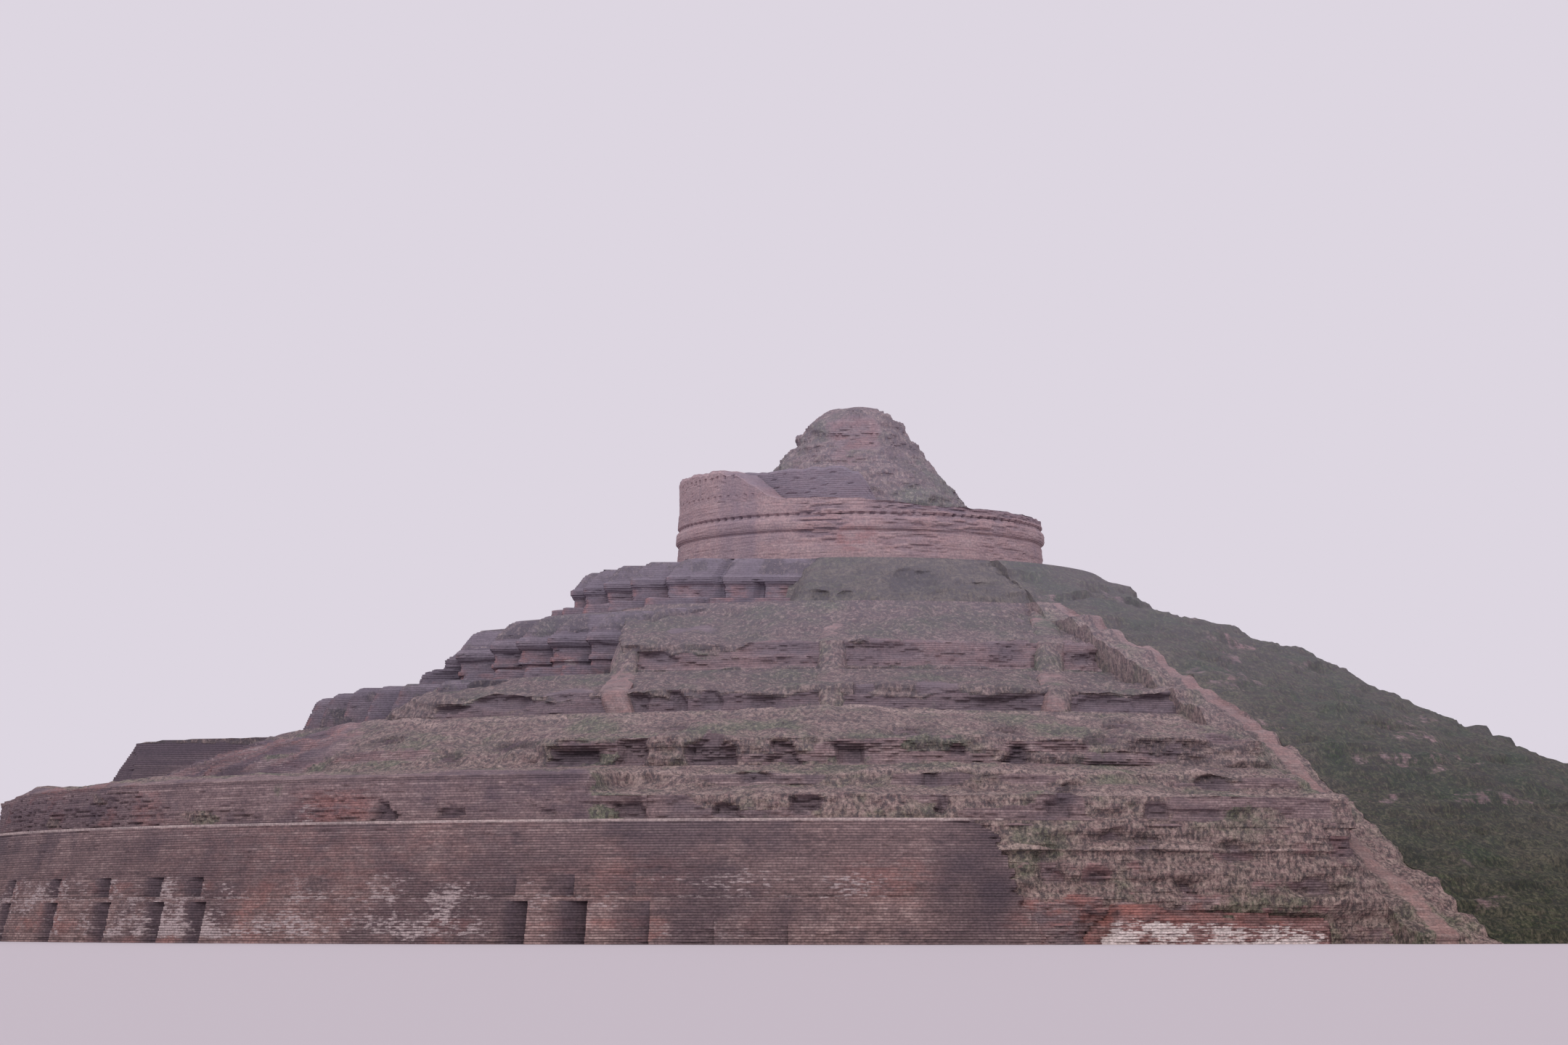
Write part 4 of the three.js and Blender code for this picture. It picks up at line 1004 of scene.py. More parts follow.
def lower_shape(bearing, height):
    radius = profile(LOWER_STATIONS, bearing, height)
    x = across(bearing, radius)
    place = polar(bearing, 49, height)
    front = on_front(bearing)
    trench = ramp(x, -12.9, -12.1) * front
    depth = niche_depth(x, height, place, LOWER_NICHES) * front
    niches = unit(3 * depth)
    fx, fz = frayed(x, height, place)
    hollow_places = [(3.3, 7.7, 0.5, 0.35), (-4.8, 7.7, 0.7, 0.3), (9.6, 6.9, 0.5, 0.5),
                     (16.8, 7.6, 0.8, 0.3)]
    hollows = spots(fx, fz, hollow_places) * front
    scarp = np.maximum(fall(height, 6.7, 7.0), ramp(height, 7.3, 7.4) * fall(height, 7.8, 8.1))
    bare = ramp(noise(place, (3.0, 3.0, 0.6), 51), -0.1, 0.35)
    floor = ramp(height, 7.95, 8.15)
    brick = (1 - trench) * (1 - floor) + trench * scarp * (0.2 + 0.6 * bare)
    brick = unit(np.maximum(brick, np.maximum(niches, hollows)))
    ruin_places = [(-46.0, 7.0, 5.0, 2.2), (-38.5, 6.6, 4.0, 1.6, 0.9), (-31.0, 6.2, 2.2, 0.6, 0.6)]
    ruin = spots(x, height, ruin_places, 0.5) * front
    drift = height[..., None] * [2.2, 0, 0]
    diagonal = ramp(noise(place + drift, (2.6, 2.6, 1.2), 52), 0.1, 0.4)
    grass_places = [(-33.5, 6.3, 2.8, 0.8, 0.9), (-40.5, 6.6, 3.4, 0.9, 0.8), (-28.5, 7.3, 1.6, 0.6, 0.4)]
    grass = spots(x, height, grass_places, 0.6) * diagonal * front
    front_turf = unit(1.05 - 0.95 * scarp * bare)
    turf = (1 - trench) * np.maximum(grass, 0.75 * floor) + trench * front_turf
    turf = turf * (1 - niches) * (1 - 0.5 * hollows)
    rubble = spots(x, height, [(-25.2, 6.3, 1.9, 0.9)], 0.5) * front
    fresh = unit(0.6 * rubble + 0.5 * ruin * ramp(noise(place, (1.8, 1.8, 0.8), 53), 0, 0.4))
    dark_places = [(-14.2, 7.8, 1.5, 0.5, 0.6), (-16.6, 6.3, 1.0, 0.5, 0.3)]
    # Painted shade darkens the hollows, and painted shade with some soot darkens the niches
    stain = spots(x, height, dark_places) * front + 0.75 * hollows + 0.55 * niches
    stain = stain + 0.5 * spots(x, height, [(-44.0, 6.5, 7.0, 1.1)], 0.7) * front
    rough = 0.1 + 0.3 * ruin + 0.26 * trench + 0.25 * rubble + 0.12 * floor
    upper_rim = near(height - 8.0, 0.12, 0.03)
    lower_rim = near(height - 7.0, 0.1, 0.03) * trench
    rim = np.maximum(upper_rim, lower_rim)
    rim = rim * (0.45 + 0.55 * trench)
    turf = np.maximum(turf, 0.7 * rim)
    radius = drawn_back(radius, bearing, height)
    return dict(radius=radius - depth - 0.4 * hollows - 0.25 * rubble, brick=brick, rough=rough, turf=turf,
                salt=0.5 * rubble, stain=np.clip(stain, 0, 0.85), fresh=fresh, parched=0.2 + 0.8 * rim)


print("lower terrace: profiles at", [where for where, _ in LOWER_STATIONS])

# %% Build the lower terrace
lower_rows = rows_of((BASE_TOP - BURIED, BASE_TOP, 0.1, False), (BASE_TOP, 7.88, COURSE, True),
                     (7.88, LOWER_TOP, 0.026, False))
lower_sharp = niche_columns(LOWER_NICHES, LOWER_ARC)
LOWER_PIECES = [("lower_terrace_back", -180, -128, 0.6, "weathered_brick"),
                ("lower_terrace_left", -128, -76, 0.5, "weathered_brick"),
                ("lower_terrace_front_left", -76, -14.5, 0.3, "weathered_brick"),
                ("lower_terrace_front", -14.5, PATH_START, 0.22, "rubble_turf")]
for node, start, end, spacing, finish in LOWER_PIECES:
    columns = bearings_from(start, end, spacing, LOWER_ARC, lower_sharp)
    lay(node, "courses", finish, columns, lower_rows, lower_shape, BASE_TOP - BURIED, LOWER_TOP,
        LOWER_BACK, LOWER_ARC)

# %% Shape of the second terrace
SECOND_WALL = [(LOWER_TOP - BURIED, 43.9), (LOWER_TOP, 43.9), (11.05, 42.1), (11.2, 41.0), (SECOND_TOP, 34.4)]
SECOND_CUT = [(LOWER_TOP - BURIED, 42.5), (LOWER_TOP, 42.5), (11.05, 42.2), (11.2, 41.6), (SECOND_TOP, 34.4)]
SECOND_RUIN = [(LOWER_TOP - BURIED, 42.6), (LOWER_TOP, 42.6), (9.3, 40.6), (10.5, 37.6), (SECOND_TOP, 34.4)]
SECOND_FRONT = [(LOWER_TOP - BURIED, 42.8), (LOWER_TOP, 42.8), (9.85, 42.3), (10.6, 38.6), (SECOND_TOP, 34.4)]
CUT_END = -76.0
SECOND_STATIONS = [(-180, SECOND_WALL), (-80, SECOND_WALL), (-77, SECOND_CUT), (CUT_END - 0.03, SECOND_CUT),
                   (CUT_END + 0.03, SECOND_RUIN), (-27, SECOND_RUIN), (-20, SECOND_FRONT)]


def second_shape(bearing, height):
    radius = profile(SECOND_STATIONS, bearing, height)
    x = across(bearing, radius)
    place = polar(bearing, 40, height)
    front = on_front(bearing)
    ruined = ramp(bearing, CUT_END, CUT_END + 0.1)
    trench = ramp(x, -18.5, -14.5) * front
    depth = niche_depth(x, height, place, SECOND_NICHES) * front * ruined
    niches = unit(3 * depth)
    hollow_places = [(2.4, 10.15, 1.0, 0.35), (7.0, 10.2, 0.9, 0.4), (7.5, 8.9, 0.5, 0.4),
                     (-17.3, 9.6, 1.3, 0.4), (-13.9, 9.0, 1.0, 0.4), (-20.5, 9.1, 0.8, 0.35),
                     (11.5, 9.7, 0.9, 0.3), (15.0, 9.3, 1.4, 0.5), (17.9, 10.0, 1.0, 0.35),
                     (-24.5, 10.2, 0.9, 0.3), (-9.0, 10.4, 0.6, 0.2), (12.8, 10.6, 0.7, 0.25)]
    hollows = spots(*frayed(x, height, place), hollow_places, 0.6) * front * ruined
    scarp = fall(height, 9.4, 10.0) * (0.75 + 0.25 * noise(place, (3, 3, 0.5), 61))
    bare = ramp(noise(place, (4.0, 4.0, 0.55), 62), -0.05, 0.35)
    grassy = ramp(x, -30, -23) * front
    stepped = 0.8 + 0.2 * bare
    showing = 0.8 * scarp * (0.4 + 0.6 * bare) + 0.3 * bare
    brick = (1 - ruined) + ruined * (1 - grassy) * stepped + ruined * grassy * showing
    floor = ramp(height, 11.0, 11.12) * (1 - ruined)
    brick = unit(np.maximum(brick * (1 - floor), np.maximum(niches, hollows)))
    turf_left = unit(ramp(noise(place, (5, 5, 0.8), 63), 0.05, 0.4) - 0.1) * 0.8
    turf_front = unit(1.1 - 0.85 * bare * scarp - 0.25 * bare)
    turf = (1 - ruined) * 0.7 * floor + ruined * ((1 - grassy) * turf_left + grassy * turf_front)
    turf = unit(turf) * (1 - niches) * (1 - 0.5 * hollows)
    fresh = ruined * (1 - grassy) * (0.3 + 0.6 * noise(place, (2.2, 2.2, 0.6), 64)) + 0.12 * grassy
    salt = 0.35 * ruined * fall(x, -34, -20) * front
    damp = ramp(noise(place, (1.5, 1.5, 0.8), 65), -0.1, 0.4)
    lichen = 0.3 + 0.5 * ramp(bearing, -95, -85) + 0.3 * noise(place, (1.2, 1.2, 4), 66)
    dark_tone = 0.3 + 0.45 * ramp(noise(place, (2.0, 2.0, 0.5), 67), 0, 0.4)
    # Painted shade darkens the hollows, and painted shade with some soot darkens the niches; damp darkens the
    # scarps
    stain = 0.6 * hollows + 0.45 * niches + 0.3 * trench * scarp * damp
    stain = stain + (1 - ruined) * lichen
    stain = stain + ruined * (1 - grassy) * dark_tone
    rough = 0.08 + ruined * (0.44 - 0.08 * grassy)
    rim = near(height - 11.3 - 0.1 * noise(place, (3, 3, 9), 68), 0.12, 0.03) * grassy
    radius = drawn_back(radius, bearing, height)
    return dict(radius=radius - depth - 0.45 * hollows, brick=brick, rough=rough, turf=turf, salt=salt,
                stain=np.clip(stain, 0, 0.85), fresh=unit(fresh), parched=0.15 + 0.8 * rim)


print("second terrace: profiles at", [where for where, _ in SECOND_STATIONS])

# %% Build the second terrace
second_rows = rows_of((LOWER_TOP - BURIED, LOWER_TOP, 0.1, False), (LOWER_TOP, 11.04, COURSE, True),
                      (11.04, SECOND_TOP, 0.023, False))
second_sharp = niche_columns(SECOND_NICHES, SECOND_ARC) + [CUT_END - 0.04, CUT_END + 0.04, CUT_END + 0.11]
SECOND_PIECES = [("second_terrace_back", -180, -128, 0.6, "weathered_brick"),
                 ("second_terrace_left", -128, CUT_END, 0.5, "weathered_brick"),
                 ("second_terrace_front_left", CUT_END, -25, 0.25, "weathered_brick"),
                 ("second_terrace_front", -25, PATH_START, 0.21, "rubble_turf")]
for node, start, end, spacing, finish in SECOND_PIECES:
    columns = bearings_from(start, end, spacing, SECOND_ARC, second_sharp)
    lay(node, "courses", finish, columns, second_rows, second_shape, LOWER_TOP - BURIED, SECOND_TOP,
        SECOND_BACK, SECOND_ARC)

# %% [markdown]
# # The third, fourth and fifth terraces
#
# Here the round plan is cut into square steps, so that each terrace shows a fan of upright corners.
# The plan of each is a list of corners on a circle. Every face leans or bulges by the same inset,
# which moves a corner diagonally and a face straight back, so that the mouldings mitre at every
# corner as laid brick does. The fourth and fifth stand on a plinth, with a rounded moulding under
# a long battered face.

# %% Columns round a stepped plan
def stepped_columns(radius, corners, start, end, spacing):
    """Points along the plan from one bearing to another, how each moves with the inset, and the
    distance along the wall."""
    quadrant = []
    for i, corner in enumerate(corners):
        u, v = radius * math.sin(math.radians(corner)), radius * math.cos(math.radians(corner))
        quadrant.append((u, -v))
        if i + 1 < len(corners):
            quadrant.append((u, -radius * math.cos(math.radians(corners[i + 1]))))
    first, last = quadrant[0][0], -quadrant[-1][1]
    left_front = [(-x, y) for x, y in reversed(quadrant)]
    left_back = [(-x, -y) for x, y in quadrant]
    outline = [(0.0, left_back[0][1])] + left_back + left_front + [(0.0, quadrant[0][1])]
    points = []
    for (x0, y0), (x1, y1) in zip(outline, outline[1:]):
        count = max(1, math.ceil(math.hypot(x1 - x0, y1 - y0) / spacing))
        even = [i / count for i in range(count)]
        if count > 3:
            even = sorted(even + [0.05 / count, 1 - 0.05 / count])
        points += [(x0 + (x1 - x0) * t, y0 + (y1 - y0) * t) for t in even]
    points.append(outline[-1])
    points = np.array(points)
    bearing = np.degrees(np.arctan2(points[:, 0], -points[:, 1]))
    bearing[0] = -180.0
    length = np.concatenate([[0], np.cumsum(np.hypot(*np.diff(points, axis=0).T))])
    wanted = np.unique(np.concatenate([[start, end], bearing[(bearing > start) & (bearing < end)]]))
    x, y, along = (np.interp(wanted, bearing, line) for line in (points[:, 0], points[:, 1], length))
    move = np.stack([np.clip(x / first, -1, 1), np.clip(y / last, -1, 1)], -1)
    is_corner = np.abs(np.hypot(points[:, 0], points[:, 1]) - radius) < 1e-6
    nearest = np.abs(along[:, None] - length[is_corner][None, :]).min(axis=1)
    return wanted, np.stack([x, y], -1), move, along, np.exp(-nearest / 0.22)


FLAT_SPACING = 0.33


def rows_along(outline):
    """Rows for a profile of (height, inset): courses where it is steep, closer rows where flat."""
    bands = []
    for (z0, d0), (z1, d1) in zip(outline, outline[1:]):
        flat = abs(d1 - d0) > 2.5 * (z1 - z0)
        thickness = (z1 - z0) / max(1, math.ceil(abs(d1 - d0) / FLAT_SPACING)) if flat else COURSE
        bands.append((z0, z1, thickness, not flat))
    return rows_of(*bands)


def mirrored(half):
    """Corner bearings of a quarter, from those of its first half."""
    return [*half, 45, *[90 - b for b in reversed(half)]]


print("corners of half a quarter, mirrored:", mirrored([20, 30]))

# %% [markdown]
# ## From a stepped plan to a closed piece
#
# Seen close, these walls are the same laid brick as the base, but every corner has worn to a pale,
# broken edge. Each column moves in and out along its own direction in the plan. A boolean of stacked
# boxes would give sharp corners only, so the wear is a field that fades out beside each corner.

# %% Join a stepped stretch
def stepped_stretch(name, plan, outline, start, end, bottom, top, inner, spacing, about):
    """A closed stretch of a stepped terrace. about(bearing, x, height) gives the finish fields."""
    bearing, points, move, along, worn = stepped_columns(*plan, start, end, spacing)
    middle, half, laid = rows_along(outline)
    heights, insets = zip(*outline)
    columns, rows = len(bearing), len(middle)
    above = np.interp(middle + 0.03, heights, insets)
    under = np.interp(middle - 0.03, heights, insets)
    lean = np.abs(above - under) / 0.06
    brick = np.broadcast_to(laid * (1 - 0.55 * ramp(lean, 0.3, 0.8)), (columns, rows))
    level = np.broadcast_to(middle, (columns, rows))
    height = level + half * (1 - 0.3 * (1 - brick))
    inset = brick * np.interp(level, heights, insets) + (1 - brick) * np.interp(height, heights, insets)
    course = np.round(level * 100).astype(np.int64)
    column = np.floor(along[:, None] / BRICK_LENGTH + 0.5 * (course % 2)).astype(np.int64)
    chance = hashed(column, course, 0, 7)
    place = np.stack([points[:, :1] + 0 * level, points[:, 1:] + 0 * level, level], -1)
    fields = about(bearing[:, None] + 0 * level, place[..., 0], level)
    # A corner is worn back. It shows fresh brick on its face and dry earth on its ledges.
    worn = worn[:, None] * (0.8 + 0.4 * noise(place, 0.8, 18))
    below = fall(lean, 0.3, 0.8)
    fields["fresh"] = unit(fields["fresh"] + 0.8 * worn * below)
    fields["stain"] = fields["stain"] * (1 - 0.8 * unit(worn) * below)
    fields["parched"] = np.maximum(fields.get("parched", 0), 0.7 * worn * (1 - below))
    # Each course wanders a little, each brick sits a little out or in, and a few are missing
    wave = noise(np.stack([along[:, None] / 1.6 + 0 * level, course * 7.31, 0 * level], -1), 1.0, 5)
    bump = 0.14 * noise(place, (2.4, 2.4, 1.6), 8) + 0.08 * noise(place, (0.7, 0.7, 0.5), 9)
    bump = bump + brick * (0.02 * wave + 0.03 * (chance - 0.5) - 0.09 * (chance > 0.965))
    bump = bump + fields.pop("push", 0.0) - 0.15 * worn
    inset = inset - bump
    rise = (1 - brick) * 0.12 * noise(place, (1.6, 1.6, 1.0), 10)
    spot = points[:, None, :] - inset[..., None] * move[:, None, :]
    outer = np.concatenate([spot, (height + rise)[..., None]], -1)
    edge = points - insets[-1] * move
    away = edge / np.linalg.norm(edge, axis=1)[:, None]

    def closing(inset_value, z, ring=None):
        flat = points - inset_value * move if ring is None else away * ring
        return np.concatenate([flat, np.full((columns, 1), z)], 1)[:, None, :]

    loops = np.concatenate([closing(insets[0], bottom), outer, closing(insets[-1], top + LIFT),
                            closing(0, top + LIFT, inner), closing(0, bottom, inner)], axis=1)
    fields["along"] = along[:, None] + 0 * level
    return closed_piece(name, loops, carried_over(fields, level.shape, [0], [-1, -1, 0]))


print("a flat part of a profile has a row every", FLAT_SPACING, "m")

# %% Plans and profiles of the stepped terraces
THIRD_PLAN = (33.0, mirrored([12.6, 22.9, 29.2, 34.5, 39.1]))
THIRD_PROFILE = [(SECOND_TOP, 0), (13.4, 0.72), (13.6, 0.85), (13.8, 1.15), (THIRD_TOP, 5.0)]
FOURTH_PLAN = (23.9, mirrored([12.9, 30.5, 38.0]))
FOURTH_PROFILE = [(THIRD_TOP, -1.6), (14.75, -1.4), (14.8, 0), (15.15, 0.05), (15.2, -0.12), (15.4, -0.12),
                  (15.45, 0.04), (15.95, 0.06), (16.05, -0.08), (16.2, -0.2), (16.45, -0.2), (16.6, -0.08),
                  (16.7, 0.06), (17.0, 0.22), (17.7, 0.82), (17.9, 1.2), (FOURTH_TOP, 3.6)]
FIFTH_PLAN = (17.4, [38, 47, 56, 65, 72])
FIFTH_PROFILE = [(FOURTH_TOP, -1.3), (18.85, -1.2), (18.9, 0), (19.6, 0.04), (19.7, -0.06), (19.85, -0.16),
                 (20.1, -0.15), (20.2, 0.05), (20.95, 0.6), (21.1, 0.75), (FIFTH_TOP, 0.95)]


def third_about(bearing, x, height):
    place = np.stack([x, bearing * 0.5, height], -1)
    stain = 0.62 + 0.25 * noise(place, (1.5, 1.5, 3), 71)
    turf = np.maximum(0.75 * ramp(height, 13.75, 13.9), 0.4 + 0.35 * noise(place, (1.6, 1.6, 0.9), 80))
    fresh = 0.25 * fall(height, 11.9, 12.6)
    return dict(turf=turf, stain=stain * (1 - 0.4 * turf), fresh=fresh)


EDGE_OF_TURF = -13.1
LOW_STEP = [(THIRD_TOP, 1.7), (14.75, 1.6), (14.8, 3.0), (15.2, 2.85), (15.6, 2.55), (15.7, 1.45),
            (16.1, 0.85), (16.5, 0.5), (17.0, 0.3), (17.7, 0.3), (FOURTH_TOP, 0.4)]


def fourth_about(bearing, x, height):
    place = np.stack([x, bearing * 0.4, height], -1)
    foot = fall(height, 15.3, 16.2)
    red = foot * unit(0.2 + 0.6 * noise(place, (1.3, 1.3, 0.8), 72))
    stain = (1 - 0.5 * foot) * (0.5 + 0.3 * noise(place, (1.2, 1.2, 2), 73))
    edge = EDGE_OF_TURF + 0.28 * (height - THIRD_TOP)
    buried = ramp(x, edge - 0.4, edge + 1.0) * ramp(bearing, -60, -45)
    pale = near(height - 16.85, 0.16, 0.05) * ramp(noise(place, (2.2, 2.2, 4), 74), -0.1, 0.2)
    spot = spots(x, height, [(-15.9, 15.1, 0.3, 0.3)]) * ramp(bearing, -60, -50)
    moss = (0.5 + 0.35 * noise(place, (1.8, 1.8, 0.9), 78)) * ramp(height, 16.55, 16.9)
    turf = np.maximum(moss, 0.8 * ramp(height, 17.85, 18.0)) + 0.5 * (np.abs(height - 14.78) < 0.05)
    turf = np.maximum(turf, 1.1 * buried)
    remnant = near(bearing + 91 + 1.5 * noise(place, (9, 9, 0.8), 116), 9.0, 6.5)
    remnant = remnant * (0.9 + 0.25 * noise(place, (9, 1.2, 0.6), 119))
    return dict(turf=turf, salt=np.clip(0.7 * pale + 1.2 * spot, 0, 1.3), stain=np.clip(stain, 0, 0.8),
                fresh=unit(red + spot), parched=np.maximum(0.9 * buried, 0.4 * ramp(height, 17.85, 18.0)),
                push=remnant * read_off(LOW_STEP, height) - 1.6 * buried)


def fifth_about(bearing, x, height):
    place = np.stack([x, bearing * 0.3, height], -1)
    foot = fall(height, 19.5, 19.8)
    left = fall(x, -11.2, -10.6)
    red = foot * (0.4 + 0.4 * noise(place, (1.3, 1.3, 0.8), 75)) * (1 - 0.6 * left)
    stain = (1 - foot * (1 - 0.5 * left)) * (0.6 + 0.2 * noise(place, (1.2, 1.2, 2), 76))
    run_places = [(-8.2, 19.2, 0.9, 2, 0.6), (-5.7, 19.2, 0.5, 2, 0.8)]
    stain = np.maximum(stain, foot * spots(x, height, run_places))
    groove_places = [(-7.8, 19.6, 0.16, 2.2), (-5.6, 19.3, 0.18, 0.62)]
    groove = spots(x, height, groove_places, 0.2) * ramp(bearing, -45, -38)
    pale = near(height - 19.7, 0.1, 0.03) * ramp(noise(place, (1.6, 1.6, 4), 77), -0.2, 0.2)
    turf = (0.46 + 0.35 * noise(place, (1.6, 1.6, 0.8), 79)) * ramp(height, 20.1, 20.35)
    # Painted shade darkens the upright grooves cut into the faces
    return dict(turf=turf, salt=0.75 * pale, stain=np.clip(stain + 0.3 * groove, 0, 0.85), fresh=unit(red),
                push=-0.3 * groove)


print("corners in a quarter:", [len(plan[1]) for plan in (THIRD_PLAN, FOURTH_PLAN, FIFTH_PLAN)])

# %% Build the stepped terraces
STEPPED = [
    ("third_terrace_back", THIRD_PLAN, THIRD_PROFILE, -180, -115, THIRD_BACK, 0.6, third_about),
    ("third_terrace_left", THIRD_PLAN, THIRD_PROFILE, -115, -43, THIRD_BACK, 0.33, third_about),
    ("fourth_terrace_back", FOURTH_PLAN, FOURTH_PROFILE, -180, -106, FOURTH_BACK, 0.5, fourth_about),
    ("fourth_terrace_left", FOURTH_PLAN, FOURTH_PROFILE, -106, -29, FOURTH_BACK, 0.26, fourth_about),
    ("fifth_terrace_back", FIFTH_PLAN, FIFTH_PROFILE, -180, -95, FIFTH_BACK, 0.4, fifth_about),
    ("fifth_terrace_left", FIFTH_PLAN, FIFTH_PROFILE, -95, -11, FIFTH_BACK, 0.22, fifth_about),
]
for node, plan, outline, start, end, inner, spacing, about in STEPPED:
    bottom = outline[0][0] - BURIED
    piece = stepped_stretch(f"{node}_faces", plan, outline, start, end, bottom, outline[-1][0], inner,
                            spacing, about)
    settle(piece, "dark_brick", node)

# %% [markdown]
# # The front trenches
#
# The front of the third and fourth terraces was dug in trenches, with narrow strips of earth left
# standing between them. In each trench a low, dark scarp of irregular brick shows at the foot, and
# above it a turf slope with hollows. The ends of each trench lie under the strips, so its columns
# run parallel to them and not towards the axis.

# %% Shapes of the trenches
BAULKS = [("earth_baulk_left", -12.4), ("earth_baulk_middle", -1.4), ("earth_baulk_right", 9.8)]
# Bays dug into the scarps: distance across, height, half width, half height, and its strength if
# that isn't one
THIRD_BAYS = [(-21.5, 12.0, 0.9, 0.25), (-18.6, 12.3, 1.3, 0.3), (-15.0, 12.7, 1.0, 0.35),
              (-11.4, 12.1, 0.55, 0.45), (-9.2, 12.1, 0.35, 0.5), (-7.5, 12.15, 0.45, 0.5),
              (-5.0, 12.0, 0.8, 0.4), (0.2, 12.6, 0.5, 0.25), (3.9, 12.7, 1.1, 0.3), (7.4, 11.95, 1.6, 0.4),
              (12.3, 12.1, 0.9, 0.5), (15.0, 12.2, 0.8, 0.4)]
FOURTH_BAYS = [(-10.6, 14.8, 0.9, 0.35), (-9.0, 16.6, 1.2, 0.2, 0.6), (-4.0, 15.3, 1.8, 0.45),
               (2.2, 15.2, 0.9, 0.4), (8.2, 15.1, 0.8, 0.6), (12.5, 14.9, 1.3, 0.4), (13.0, 16.2, 1.2, 0.35)]
THIRD_FRONT = [(SECOND_TOP - BURIED, 33.9), (SECOND_TOP, 33.9), (12.7, 33.3), (13.3, 30.4), (THIRD_TOP, 27.6)]
FOURTH_FRONT = [(THIRD_TOP - BURIED, 27.0), (THIRD_TOP, 27.0), (15.6, 26.3), (16.1, 24.6), (17.4, 20.8),
                (FOURTH_TOP, 19.0)]


def dug_slope(radius, height, edge, scarp, bays, bare, stain):
    """What both trenches share: a scarp of brick up to an edge, turf above it, and bays."""
    brick = unit(np.maximum(scarp, bays) + 0.3 * bare)
    turf = unit(1.1 - 0.78 * scarp - 0.35 * bare) * (1 - bays)
    rim = near(height - edge - 0.2, 0.14, 0.04)
    return dict(radius=radius - 0.12 * scarp, brick=0.75 * brick, rough=0.36 + 0.04 * scarp, turf=turf,
                salt=0.2 * scarp, stain=np.clip(stain, 0, 0.8), fresh=0.2 * scarp,
                parched=0.6 * rim)


def third_trench_shape(bearing, height):
    radius = read_off(THIRD_FRONT, height)
    x = across(bearing, radius)
    place = polar(bearing, 32, height)
    cover = ramp(x, -27.2 + 1.6 * (height - SECOND_TOP), -25.2 + 1.6 * (height - SECOND_TOP))
    radius = radius - 5.5 * (1 - cover)
    bays = spots(*frayed(x, height, place), THIRD_BAYS, 0.4)
    edge = 12.4 + 0.4 * noise(place, (2.2, 2.2, 9), 81) + 0.15 * noise(place, (0.6, 0.6, 9), 88)
    scarp = fall(height, edge - 0.05, edge + 0.15) * ramp(x, -23.5, -21)
    bare = ramp(noise(place, (2.6, 2.6, 0.5), 82), 0.1, 0.5)
    shaded = np.clip(0.33 * scarp + 0.55 * bays, 0, 0.8) * (0.75 + 0.6 * noise(place, 0.9, 83))
    stain = 0.4 + 0.45 * scarp * ramp(x, 10, 12.5) + shaded
    return dug_slope(radius - 0.36 * bays, height, edge, scarp, bays, bare, stain)


def fourth_trench_shape(bearing, height):
    radius = read_off(FOURTH_FRONT, height)
    x = across(bearing, radius)
    place = polar(bearing, 24, height)
    edge = EDGE_OF_TURF + 0.28 * (height - THIRD_TOP)
    cover = ramp(x, edge - 1.2, edge + 0.2)
    heap = 1.1 * fall(x, edge + 0.4, edge + 4.5) * ramp(height, 15.2, 16.4)
    radius = radius + heap - 5.0 * (1 - cover)
    bays = spots(*frayed(x, height, place), FOURTH_BAYS, 0.4)
    low_edge = 15.3 + 0.45 * noise(place, (2.2, 2.2, 9), 84) + 0.15 * noise(place, (0.6, 0.6, 9), 89)
    low_edge = low_edge + 0.35 * ramp(x, -8, -2)
    scarp = ramp(height, 14.2, 14.3) * fall(height, low_edge - 0.05, low_edge + 0.15)
    scarp = scarp * ramp(noise(place, (3.5, 3.5, 9), 85), -0.75, -0.35)
    bare = ramp(noise(place, (2.6, 2.6, 0.5), 86), 0.15, 0.5)
    shaded = np.clip(0.15 * scarp + 0.6 * bays, 0, 0.8) * (0.75 + 0.6 * noise(place, 0.9, 87))
    stain = 0.48 - 0.4 * scarp + shaded
    return dug_slope(radius - 0.3 * bays, height, low_edge, scarp, bays, bare, stain)


print("bays in the trenches:", len(THIRD_BAYS) + len(FOURTH_BAYS))

# %% Build the trenches
def trench_bearings(left, right, radii, spacing):
    """One bearing for each column and row between two sides. A side is ("x", distance across) or
    ("bearing", angle)."""
    def side(kind, value):
        return np.degrees(np.arcsin(np.clip(value / radii, -1, 1))) if kind == "x" else value + 0 * radii
    start, end = side(*left), side(*right)
    count = max(3, math.ceil(math.radians(float(np.max(end - start))) * float(np.mean(radii)) / spacing))
    share = np.linspace(0, 1, count + 1)[:, None]
    return start[None, :] * (1 - share) + end[None, :] * share


trench_sides = [("bearing", -53.0), *[("x", x) for _, x in BAULKS], ("bearing", PATH_START)]
third_rows = rows_of((SECOND_TOP - BURIED, SECOND_TOP, 0.1, False), (SECOND_TOP, 12.7, COURSE, True),
                     (12.7, THIRD_TOP, 0.06, False))
fourth_rows = rows_of((THIRD_TOP - BURIED, THIRD_TOP, 0.1, False), (THIRD_TOP, 15.8, COURSE, True),
                      (15.8, 17.4, 0.1, False), (17.4, FOURTH_TOP, 0.1, False))


def lay_trenches(level, names, sides, rows, outline, shape, bottom, top, back, arc_radius, spacing):
    """The stretches of one terrace, from one side to the next."""
    radii = read_off(outline, rows[0])
    for name, left, right in zip(names, sides, sides[1:]):
        grid = trench_bearings(left, right, radii, spacing)
        lay(f"{level}_trench_{name}", "slope", "rubble_turf", grid, rows, shape, bottom, top, back,
            arc_radius, lift=0.05)


lay_trenches("third", ("far_left", "left", "middle", "right"), trench_sides, third_rows, THIRD_FRONT,
             third_trench_shape, SECOND_TOP - BURIED, THIRD_TOP, THIRD_BACK, THIRD_ARC, 0.2)
lay_trenches("fourth", ("left", "middle", "right"), [("bearing", -36.0), *trench_sides[2:]], fourth_rows,
             FOURTH_FRONT, fourth_trench_shape, THIRD_TOP - BURIED, FOURTH_TOP, FOURTH_BACK, FOURTH_ARC, 0.19)

